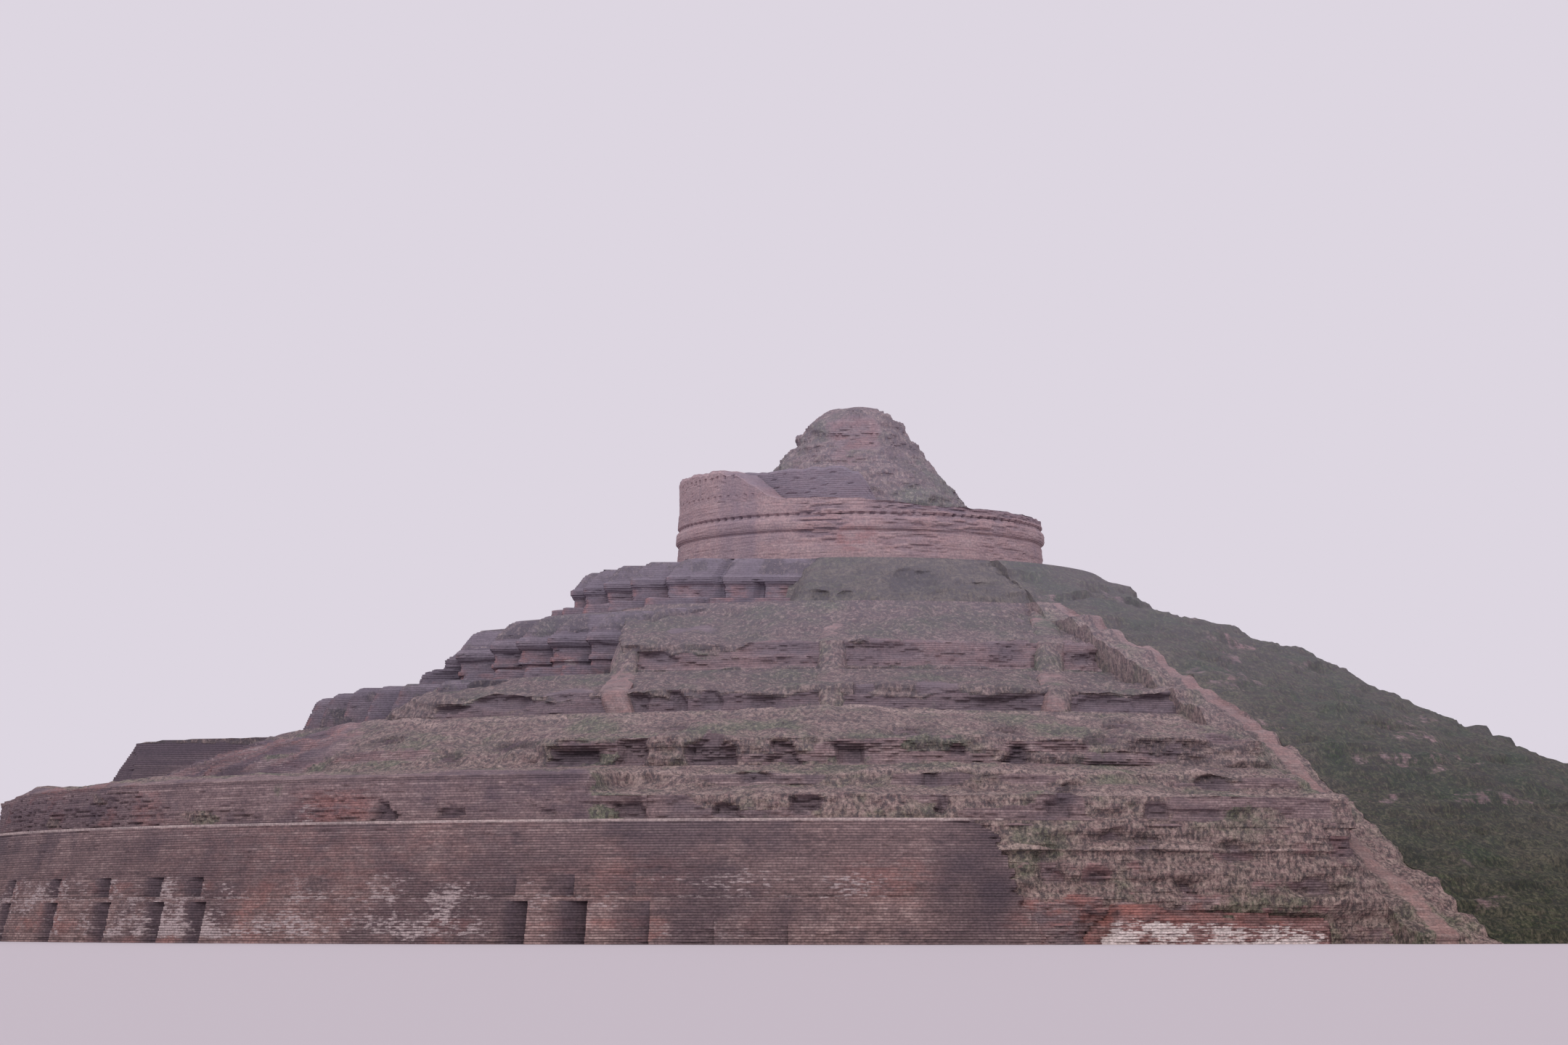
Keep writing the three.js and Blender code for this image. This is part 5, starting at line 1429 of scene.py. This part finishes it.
# %% [markdown]
# # Earth strips between the trenches
#
# Each strip is a straight wall of unexcavated earth, about 1.3 m wide, that climbs over both
# terraces and stands a little proud of the turf. A box would look like a plank, so each strip has a
# rounded back, worn edges and a surface of trodden earth with crumbs of brick. The path on the
# right is a strip of the same kind that runs towards the axis.

# %% Build the straight strips
BAULK_PROFILE = [(SECOND_TOP, 34.35), (12.7, 33.6), (13.3, 30.6), (THIRD_TOP, 27.8), (15.6, 26.5),
                 (16.1, 24.65), (17.4, 20.85), (FOURTH_TOP, 19.05)]
OFFSETS = np.array([-0.8, -0.78, -0.66, -0.5, -0.3, -0.1, 0.1, 0.3, 0.5, 0.66, 0.78, 0.8])[:, None]
SINKS = np.array([2.4, 0.8, 0.42, 0.2, 0.06, 0, 0, 0.06, 0.2, 0.42, 0.8, 2.4])[:, None]
strip_rows = rows_of((SECOND_TOP, 12.9, 0.14, False), (12.9, THIRD_TOP, 0.06, False),
                     (THIRD_TOP, 15.8, 0.14, False), (15.8, FOURTH_TOP, 0.08, False))
for node, centre in BAULKS:
    height = strip_rows[0][None, :] + 0 * OFFSETS
    depth = np.sqrt(read_off(BAULK_PROFILE, height) ** 2 - (centre + OFFSETS) ** 2) - SINKS
    place = np.stack([centre + OFFSETS + 0 * height, -depth, height], -1)
    hump = 0.16 * noise(place, (1.4, 1.4, 1.0), 91) + 0.1 * noise(place, (0.5, 0.5, 0.4), 92)
    hump = hump * (SINKS < 1)
    wander = 0.3 * noise(np.stack([0 * height + centre, 0 * height, height], -1), 1.6, 93)
    outer = np.stack([centre + OFFSETS + wander, -(depth + hump), height], -1)
    low = outer[:, :1].copy()
    low[..., 2] = SECOND_TOP - BURIED
    high = outer[:, -1:].copy()
    high[..., 2] = FOURTH_TOP + LIFT
    back_high, back_low = high.copy(), low.copy()
    back_high[..., 1] = -FOURTH_BACK
    back_high[..., 2] = FOURTH_TOP - 0.5
    back_low[..., 1] = -FOURTH_BACK
    loops = np.concatenate([low, outer, high, back_high, back_low], 1)
    turf = unit(0.3 + 0.45 * noise(loops, (1.5, 1.5, 1.5), 94))
    turf = turf + (0.4 if centre > -5 else 0.5 * ramp(loops[..., 2], 14.0, 15.5))
    piece = closed_piece(f"{node}_back", loops, {"along": loops[..., 0], "turf": turf, "fresh": 0.25})
    settle(piece, "dry_earth", node)

# %% [markdown]
# # The turf slope of the unexcavated mound
#
# The right half is one long slope from the ground to the foot of the drum. It could be a smooth
# cone, but real turf has slumped into terracettes, humps and bare patches. The slope takes the
# strongest relief of the model, and thin rows of old courses show through where the turf is worn.

# %% Shape of the mound and the path
# Spoil lies against the ends of the terraces at the back, and some of it has slid over their floors
SPOIL = [(0, 54.6), (2.4, 53.2), (5.6, 51.2), (7.7, 49.9), (8.3, 47.4), (9.5, 44.8), (11.0, 42.8),
         (11.6, 38.6), (12.6, 34.6), (13.3, 32.2), (14.0, 30.0), (14.3, 0)]


def mound_shape(bearing, height):
    radius = slope_radius(bearing, height)
    heaped = ramp(bearing + 1.2 * noise(polar(bearing, radius, height), (4, 4, 3), 115), 170, 179)
    radius = radius + heaped * np.clip(read_off(SPOIL, height) - radius, 0, None)
    place = polar(bearing, radius, height)
    past = np.radians(bearing - 180) * (18 + 0.6 * radius)
    past = past + 0.9 * noise(place, (2.2, 2.2, 1.2), 110) + 1.7 * noise(place, (7, 7, 4.5), 120)
    fallen = ramp(past, 0.5, 3.6)
    radius = np.maximum(radius - 8.5 * fallen, np.minimum(radius, 12.4))
    bare = np.maximum(ramp(noise(place, (5, 5, 1.0), 101), 0.3, 0.6), 0.7 * unit(2 * fallen))
    step = 0.22 * noise(place, (7, 7, 0.55), 102)
    turf = unit(1.15 - 0.55 * bare)
    stain = 0.35 * ramp(noise(place, (4, 4, 1.4), 103), 0.3, 0.6) + 0.42 * fall(height, 7, 12)
    low = fall(height + 1.5 * noise(place, (4, 4, 2), 107), 3.6, 7.4)
    beside_path = fall(bearing, PATH_END, PATH_END + 3)
    parched = np.maximum(low * fall(bearing, 60, 85), beside_path)
    parched = parched * (0.45 + 0.6 * noise(place, (2.5, 2.5, 1), 108))
    return dict(radius=radius + step, brick=0.25 * bare, rough=0.6, turf=turf,
                stain=stain, fresh=0.2 * bare, parched=unit(parched))


def path_shape(bearing, height):
    radius = slope_radius(bearing, height) + 0.45 * ramp(height, 0.0, 0.4)
    place = polar(bearing, radius, height)
    upward = height[..., None] * [0, 0, 1]
    middle = 30.2 + 2.2 * ramp(height, 4.5, 11.0) + 0.3 * noise(upward, 2.5, 104)
    hump = 0.22 * unit(1 - (np.abs(bearing - middle) / 1.1) ** 2)
    steps = 0.12 * noise(place, (2, 2, 0.3), 105)
    thin = 0.35 * noise(place, (2, 2, 1), 106)
    turf = unit(thin + 1.1 * np.abs(bearing - middle) / 0.9 - 0.3)
    # Painted shade along the foot of the path's left side
    bank = near(bearing - middle + 1.1, 0.5, 0.2)
    join = ramp(bearing, middle + 0.7, PATH_END - 0.1)
    radius = (1 - join) * (radius + hump - 0.42 + steps) + join * mound_shape(bearing, height)["radius"]
    return dict(radius=radius, brick=0.1, rough=0.3 + 0.45 * join, turf=turf,
                stain=0.5 * bank, fresh=0.2, parched=0.1 + 0.2 * join)


print("spoil reaches", SPOIL[0][1], "m from the axis at the ground")

# %% Build the mound and the path
mound_rows = rows_of((0, 17.6, 0.2, True), (17.6, 18.8, 0.1, False), (18.8, FIFTH_TOP, 0.2, False))
MOUND_PIECES = [("mound_slope_front", PATH_END, 80, 0.42), ("mound_slope_right", 80, 130, 0.75),
                ("mound_slope_back", 130, 192, 0.8)]
for node, start, end, spacing in MOUND_PIECES:
    columns = bearings_from(start, end, spacing, 50, np.arange(171, 192, 0.4))
    lay(node, "turf", "green_turf", columns, mound_rows, mound_shape, 0, FIFTH_TOP, TURF_BACK, 50,
        lift=0.01)
path_rows = rows_of((0, 17.6, 0.16, True), (17.6, FOURTH_TOP, 0.08, False))
columns = bearings_from(28.6, PATH_END, 0.2, 45)
lay("earth_baulk_path", "back", "dry_earth", columns, path_rows, path_shape, 0, FOURTH_TOP, FOURTH_BACK,
    45, lift=0.07)

# %% [markdown]
# ## The turf front of the fifth terrace
#
# Turf covers the whole front of the fifth terrace, up to the foot of the drum. One large, shaded
# hollow and three small ones break it. The hollow's edge is soft, so it is an ellipse that fades
# out, and not one of the boxes used for the niches.

# %% Shape and build the turf front of the fifth terrace
FIFTH_FRONT = [(FOURTH_TOP - BURIED, 17.9), (FOURTH_TOP, 17.9), (19.2, 17.0), (20.4, 14.9), (FIFTH_TOP, 13.4)]


def fifth_front_shape(bearing, height):
    radius = read_off(FIFTH_FRONT, height)
    x = across(bearing, radius)
    place = polar(bearing, 16, height)
    fx, fz = frayed(x, height, place, 0.45)
    hollow = ramp(1 - ((fx - 2.9) / 1.75) ** 2 - ((fz - 19.75) / 1.05) ** 2, 0.0, 1.1)
    small_places = [(-2.3, 18.9, 0.5, 0.25, 0.8), (6.8, 19.3, 0.8, 0.3, 0.7), (-0.6, 18.8, 0.4, 0.2, 0.6)]
    small = spots(fx, fz, small_places)
    cover = ramp(x, -4.6 + 0.5 * (height - 19), -3.2 + 0.5 * (height - 19))
    radius = radius - 2.2 * (1 - cover)
    turf = unit(1.15 - 0.25 * hollow - 0.5 * small)
    patchy = 0.85 + 0.5 * noise(place, (2.0, 2.0, 0.8), 109) + 0.5 * noise(place, (0.6, 0.6, 0.3), 117)
    clumps = 0.5 * ramp(noise(place, (0.9, 0.9, 0.35), 118), 0.1, 0.5)
    # Painted shade over dense dark weeds darkens the hollows; the clumps darken the turf in patches
    return dict(radius=radius - 0.55 * hollow - 0.3 * small, brick=unit(0.4 * hollow + 0.6 * small),
                rough=0.36, turf=turf, stain=unit(1.15 * hollow + 0.5 * small + clumps),
                parched=unit(patchy) * (1 - hollow))


fifth_rows = rows_of((FOURTH_TOP - BURIED, FOURTH_TOP, 0.1, False), (FOURTH_TOP, FIFTH_TOP, COURSE, True))
lay("fifth_terrace_front", "turf", "green_turf", bearings_from(-16, PATH_END, 0.18, 17), fifth_rows,
    fifth_front_shape, FOURTH_TOP - BURIED, FIFTH_TOP, TURF_BACK, 17, lift=0.05)

# %% [markdown]
# # The drum
#
# The drum is smooth, well-laid brick with one round moulding. Its face is so even that it looks
# plastered, until erosion has opened the joints into dark slots at the centre and on the right.
# Rows of small square holes once held scaffold poles. A lathe would give the plain ring; here the
# same rows as before are wrapped all the way round, with holes and slots drawn in.

# %% Shape of the drum wall
DRUM_RADIUS, DRUM_INNER, DRUM_COURSE = 10.75, 8.9, 0.09
MOULDING_BOTTOM, MOULDING_TOP, BROKEN_TOP = 23.05, 23.95, 24.7
DRUM_PROFILE = [(FIFTH_TOP - BURIED, 10.9), (FIFTH_TOP, 10.89), (22.92, 10.79), (22.98, 10.72),
                (23.05, 10.72), (23.1, 10.8), (23.25, 10.89), (23.5, 10.92), (23.75, 10.88), (23.9, 10.74),
                (23.98, 10.68), (24.05, 10.7), (24.1, 10.79), (24.8, 10.75)]
HOLE_SPACING = 0.63


def pole_holes(bearing, height, level):
    """A row of small square holes at one height."""
    along = np.radians(bearing) * DRUM_RADIUS
    beside = (along / HOLE_SPACING) % 1.0 < 0.26
    return (beside & (np.abs(height - level) < 0.09)) * 1.0


def drum_shape(bearing, height):
    radius = read_off(DRUM_PROFILE, height)
    x = across(bearing, DRUM_RADIUS)
    place = polar(bearing, DRUM_RADIUS, height)
    front = fall(np.abs(bearing), 80, 100)
    worn_places = [(-2.1, 23.6, 1.5, 1.2, 1.0), (5.2, 23.9, 4.6, 0.9, 0.7), (3.0, 22.4, 2.2, 0.7, 0.6),
                   (8.3, 22.4, 1.3, 0.9, 0.4)]
    worn = spots(x, height, worn_places, 0.4) * front + 0.5 * (1 - front)
    smooth_patch = spots(x, height, [(-0.2, 22.6, 1.1, 0.75, 1.0)], 0.2) * front
    slots = ramp(noise(place, (0.8, 0.8, 0.12), 111), -0.02, 0.2) * unit(worn - smooth_patch)
    crown = ramp(height, 24.1, 24.3) * ramp(x, -0.5, 1.5) * front
    still_open = 0.45 + 0.35 * ramp(noise(place, (2, 2, 2), 114), -0.2, 0.3)
    holes = pole_holes(bearing, height, 24.0) * still_open
    band = spots(x, height, [(-7.0, 23.0, 1.15, 3.0, 0.6)], 0.25) * front
    runs = 0.7 + 0.4 * noise(place, (0.5, 0.5, 2.5), 112)
    # Painted shade darkens the opened slots, the pole holes and the two grooves of the moulding; the band and
    # its runs are real stains
    stain = band * runs + 0.6 * slots + 0.45 * crown + 0.7 * holes
    stain = stain + 0.25 * near(height - 23.98, 0.12, 0.02)
    stain = stain + 0.2 * near(height - 23.02, 0.1, 0.02)
    fresh = 0.6 * smooth_patch + 0.15 * worn + 0.2
    ceiling = np.interp(x, [-2, 0, 3.6], [24.95, 24.88, 24.52]) * front + 24.7 * (1 - front)
    ceiling = ceiling + 0.05 * noise(polar(bearing, DRUM_RADIUS, 0), (0.5, 0.5, 1), 113)
    return dict(ceiling=ceiling, radius=radius - 0.1 * slots - 0.25 * holes - 0.1 * crown,
                brick=0.35 + 0.5 * unit(worn + crown), rough=0.05 + 0.14 * crown + 0.05 * worn, turf=0,
                salt=0.12 * worn, stain=np.clip(stain, 0, 0.85), fresh=fresh)


print("pole holes in a ring:", round(2 * math.pi * DRUM_RADIUS / HOLE_SPACING))

# %% Build the drum wall
around = np.arange(428) * 360 / 428 - 180
DRUM_PIECES = [("drum_lower_wall", FIFTH_TOP - BURIED, MOULDING_BOTTOM, 0.1),
               ("drum_moulding", MOULDING_BOTTOM, MOULDING_TOP, DRUM_COURSE),
               ("drum_upper_course", MOULDING_TOP, 25.0, DRUM_COURSE)]
for node, bottom, top, course in DRUM_PIECES:
    rows = rows_of((bottom, top, course, True))
    lay(node, "courses", "drum_brick", around, rows, drum_shape, bottom, top, DRUM_INNER, DRUM_RADIUS,
        wrap=True)

# %% [markdown]
# ## What stands on the broken top
#
# On the left the outer skin of the drum still rises to 27 m, and its top breaks down towards the
# front. Behind it stands a darker, older wall, and inside that the stump of the dome. Their tops
# are ragged, so the rows of both walls are squeezed to a top that varies with the bearing.

# %% Walls with a ragged top
def standing_wall(name, start, end, inner, outer, tops, fields_of, bulge):
    """A curved wall whose rows fill the height from the broken top of the drum to its own top."""
    columns = np.linspace(start, end, math.ceil(math.radians(end - start) * outer / 0.17) + 1)[:, None]
    share = np.linspace(0, 1, 30)[None, :]
    ragged = 0.14 * noise(polar(columns, outer, 0), (0.55, 0.55, 1), 121)
    top = read_off(tops, columns) + ragged
    top = top + 0.1 * noise(polar(columns, outer, 0), (2, 2, 1), 122)
    bottom = BROKEN_TOP - 0.15
    height = bottom + (top - bottom) * share
    place = polar(columns, outer, height)
    course = np.round(height / DRUM_COURSE).astype(np.int64)
    along = np.radians(columns) * outer
    column = np.floor(along / BRICK_LENGTH + 0.5 * (course % 2)).astype(np.int64)
    chance = hashed(column, course, 0, 8)
    bump = 0.05 * noise(place, (1.3, 1.3, 0.9), 123) + 0.03 * (chance - 0.5) - 0.1 * (chance > 0.96)
    radius = outer + bulge * bump
    radius = radius - 0.12 * ramp(share, 0.93, 1.0)
    fields, cut = fields_of(columns + 0 * height, height, top)
    face = polar(columns, radius - cut, height)
    cap = []
    for t in (0.25, 0.5, 0.75):
        crumbled = top + 0.07 * noise(polar(columns, outer - 2 * t, 0), 0.5, 124)
        cap.append(polar(columns, outer + (inner - outer) * t, crumbled))
    back = [polar(columns, inner, top), polar(columns, inner, bottom)]
    loops = np.concatenate([face, *cap, *back], 1)
    fields["along"] = along + 0 * height
    return closed_piece(name, loops, carried_over(fields, height.shape, [], [-1] * 5))


def skin_fields(bearing, height, top):
    x = across(bearing, DRUM_RADIUS)
    front = ramp(bearing, -95, -80)
    place = polar(bearing, DRUM_RADIUS, height)
    band = spots(x, height, [(-7.0, 25.0, 1.15, 2.0, 0.7)], 0.3) * front
    holes = np.maximum(pole_holes(bearing, height, 26.45), pole_holes(bearing + 1.5, height, 25.3) * 0.6)
    runs = 0.7 + 0.4 * noise(place, (0.5, 0.5, 2.5), 125)
    # Painted shade darkens the pole holes
    stain = band * runs + 0.35 * holes + 0.3 * ramp(height, top - 0.12, top)
    warm = ramp(x, -7.5, -5.0) * front
    return dict(turf=0, stain=np.clip(stain, 0, 0.8), fresh=0.15 + 0.35 * warm), 0.12 * holes


def inner_fields(bearing, height, top):
    place = polar(bearing, 8.5, height)
    stain = 0.5 + 0.2 * noise(place, (1, 1, 1.5), 126)
    return dict(turf=0.25 * ramp(height, top - 0.15, top), stain=stain, fresh=0.15), 0.0


print("the broken top of the drum is at", BROKEN_TOP, "m")

# %% Build the standing skin and the inner wall
SKIN_TOPS = [(-176, 24.95), (-158, 26.95), (-52, 26.95), (-42, 26.7), (-37, 26.2), (-31, 25.55), (-25, 25.0)]
INNER_TOPS = [(-178, 25.0), (-150, 26.85), (-5, 26.85), (0, 26.5), (3, 25.9), (6, 25.1)]
piece = standing_wall("drum_standing_skin_courses", -176, -25, DRUM_INNER, 10.73, SKIN_TOPS, skin_fields, 0.5)
settle(piece, "drum_brick", "drum_standing_skin")
piece = standing_wall("drum_inner_wall_courses", -178, 6, 6.9, DRUM_INNER - 0.02, INNER_TOPS, inner_fields,
                      0.8)
settle(piece, "dark_brick", "drum_inner_wall")

# %% [markdown]
# ## The stump of the dome
#
# Nothing is left of the dome's face. A steep, uneven stump of rubble brick leans a little to the
# left as it rises, bare and red near its top and grown over below. It is modelled as a solid of
# revolution that the noise pulls well out of round.

# %% Shape and build the summit
SUMMIT_PROFILE = [(24.5, 6.9), (24.7, 6.85), (25.7, 6.15), (26.75, 5.5), (27.7, 4.8), (28.6, 4.05),
                  (29.4, 3.5), (30.3, 2.9), (31.0, 1.95), (31.35, 1.2), (31.5, 0.5)]
SUMMIT_SHIFT = [(24.7, 0), (25.7, 0.1), (26.75, -0.1), (27.7, -0.3), (28.6, -0.25), (29.4, -0.3),
                (30.3, -0.5), (31.0, -0.4), (31.5, 0)]


def summit_shape(bearing, height):
    radius = read_off(SUMMIT_PROFILE, height)
    x = across(bearing, radius)
    place = polar(bearing, radius, height)
    front = fall(np.abs(bearing), 70, 110)
    red = spots(x, height, [(0.1, 29.5, 1.5, 1.1, 1.0), (-0.4, 27.8, 1.0, 0.6, 0.6)], 0.5) * front
    scarps = ramp(noise(place, (1.2, 1.2, 1.6), 131), 0.15, 0.45)
    brick = unit(0.3 + 0.6 * red + 0.4 * scarps)
    turf = unit(0.95 - 0.85 * red - 0.35 * scarps + 0.3 * ramp(height, 30.6, 31.2))
    stain = 0.4 * scarps * (1 - red) + 0.25 * ramp(noise(place, (1.5, 1.5, 2), 132), 0, 0.4)
    return dict(radius=radius, brick=brick, rough=0.3 * np.clip(radius / 3, 0.15, 1), turf=turf,
                salt=0.12 * red, stain=np.clip(stain, 0, 0.6), fresh=0.5 * red)


summit_rows = rows_of((24.5, 31.2, 0.12, True), (31.2, 31.5, 0.05, False))
lay("summit_stump", "rubble", "rubble_turf", np.arange(190) * 360 / 190 - 180, summit_rows, summit_shape,
    24.5, 31.5, 0.0, 5.0, wrap=True, lift=0.0, shift=lambda z: read_off(SUMMIT_SHIFT, z))

# %% [markdown]
# ## Floors round and inside the drum
#
# Two discs of the hearting show their tops: the walk round the foot of the drum, and the floor on
# its broken top. Both are trodden earth with thin grass, so rings of points get a gentle noise.

# %% Build the two floors
def floor_disc(name, radius, bottom, top, finish, node, turf_amount):
    """A disc whose top is a trodden, uneven floor."""
    rings = np.concatenate([[radius], np.arange(radius - 0.1, 0.5, -0.35), [0.0]])
    bearing = (np.arange(120) * 3.0 - 180)[:, None]
    height = top + 0.09 * noise(polar(bearing, rings[None, :], top), 0.9, 141) - 0.04
    height[:, 0] = top - 0.12
    floor = polar(bearing, rings[None, :], height)
    edge, centre = polar(bearing, radius, bottom), polar(bearing, 0 * bearing, bottom)
    loops = np.concatenate([edge, floor, centre], 1)
    along = np.radians(bearing) * radius + 0 * loops[..., 0]
    piece = closed_piece(name, loops, {"along": along, "turf": turf_amount, "stain": 0.2}, wrap=True)
    settle(piece, finish, node)


floor_disc("fifth_core_walk", 12.6, FOURTH_TOP, FIFTH_TOP, "green_turf", "fifth_core", 0.6)
floor_disc("drum_core_floor", 8.88, FIFTH_TOP, BROKEN_TOP, "rubble_turf", "drum_core", 0.75)
print("pieces:", len(made_pieces), "triangles:", sum(made_pieces.values()))

# %% [markdown]
# # Floor, light and camera
#
# The monument stands on a plain pale floor in soft studio light, as even as the hazy sky that
# bricks look best in. A large sun lamp, blurred almost to nothing, gives the corners a lit side.
# The camera stands far back at eye height with a long lens, looking slightly up and to the left.

# %% Floor
floor_mesh = bpy.data.meshes.new("studio_floor")
reach = 400.0
floor_corners = [(-reach, -reach, 0), (reach, -reach, 0), (reach, reach, 0), (-reach, reach, 0)]
floor_mesh.from_pydata(floor_corners, [], [(0, 1, 2, 3)])
studio_floor = bpy.data.objects.new("studio_floor", floor_mesh)
bpy.context.collection.objects.link(studio_floor)
floor_finish = bpy.data.materials.new("studio_floor")
floor_finish.use_nodes = True
floor_shader = floor_finish.node_tree.nodes["Principled BSDF"]
floor_shader.inputs["Base Color"].default_value = colour(200, 192, 196)
floor_shader.inputs["Roughness"].default_value = 0.95
floor_mesh.materials.append(floor_finish)
studio_floor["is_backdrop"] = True
print("floor:", 2 * reach, "units across")

# %% Light
world = bpy.data.worlds.new("soft_studio")
world.use_nodes = True
world.node_tree.nodes["Background"].inputs[0].default_value = colour(221, 214, 225)
world.node_tree.nodes["Background"].inputs[1].default_value = 1.0
bpy.context.scene.world = world
sun = bpy.data.lights.new("soft_sun", "SUN")
SUN_STRENGTH, SUN_BLUR, SUN_TILT, SUN_TURN = 1.1, 50, 50, -4
sun.energy = SUN_STRENGTH
sun.angle = math.radians(SUN_BLUR)
sun_lamp = bpy.data.objects.new("soft_sun", sun)
sun_lamp.rotation_euler = (math.radians(SUN_TILT), 0, math.radians(SUN_TURN))
bpy.context.collection.objects.link(sun_lamp)
bpy.context.scene.view_settings.view_transform = "Standard"
print("sun", SUN_TILT, "degrees from straight down, blurred over", SUN_BLUR)

# %% Camera
FOCAL_PIXELS, IMAGE_WIDTH = 5100.0, 2160.0
DISTANCE, EYE = 219.0, 1.1
# Where the middle of the image, the horizon and the monument's axis lie, in pixels
MIDDLE_ACROSS, MIDDLE_DOWN, HORIZON, AXIS = 1080, 720, 1268, 1185
camera = bpy.data.cameras.new("camera")
camera.sensor_width = 36.0
camera.lens = FOCAL_PIXELS / IMAGE_WIDTH * 36.0
camera.clip_end = 1000
camera_stand = bpy.data.objects.new("camera", camera)
camera_stand.location = (0, -DISTANCE * METRE, EYE * METRE)
tilt_up = math.atan((HORIZON - MIDDLE_DOWN) / FOCAL_PIXELS)
turn_left = math.atan((AXIS - MIDDLE_ACROSS) / FOCAL_PIXELS)
camera_stand.rotation_euler = (math.radians(90) + tilt_up, 0, turn_left)
bpy.context.collection.objects.link(camera_stand)
bpy.context.scene.camera = camera_stand
print("camera looks up and left by", [round(math.degrees(a), 2) for a in (tilt_up, turn_left)], "degrees")

# %% Sizes, and the end
bpy.context.view_layer.update()
low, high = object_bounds()
print("visual box:", [round(v, 3) for v in (*low, *high)])
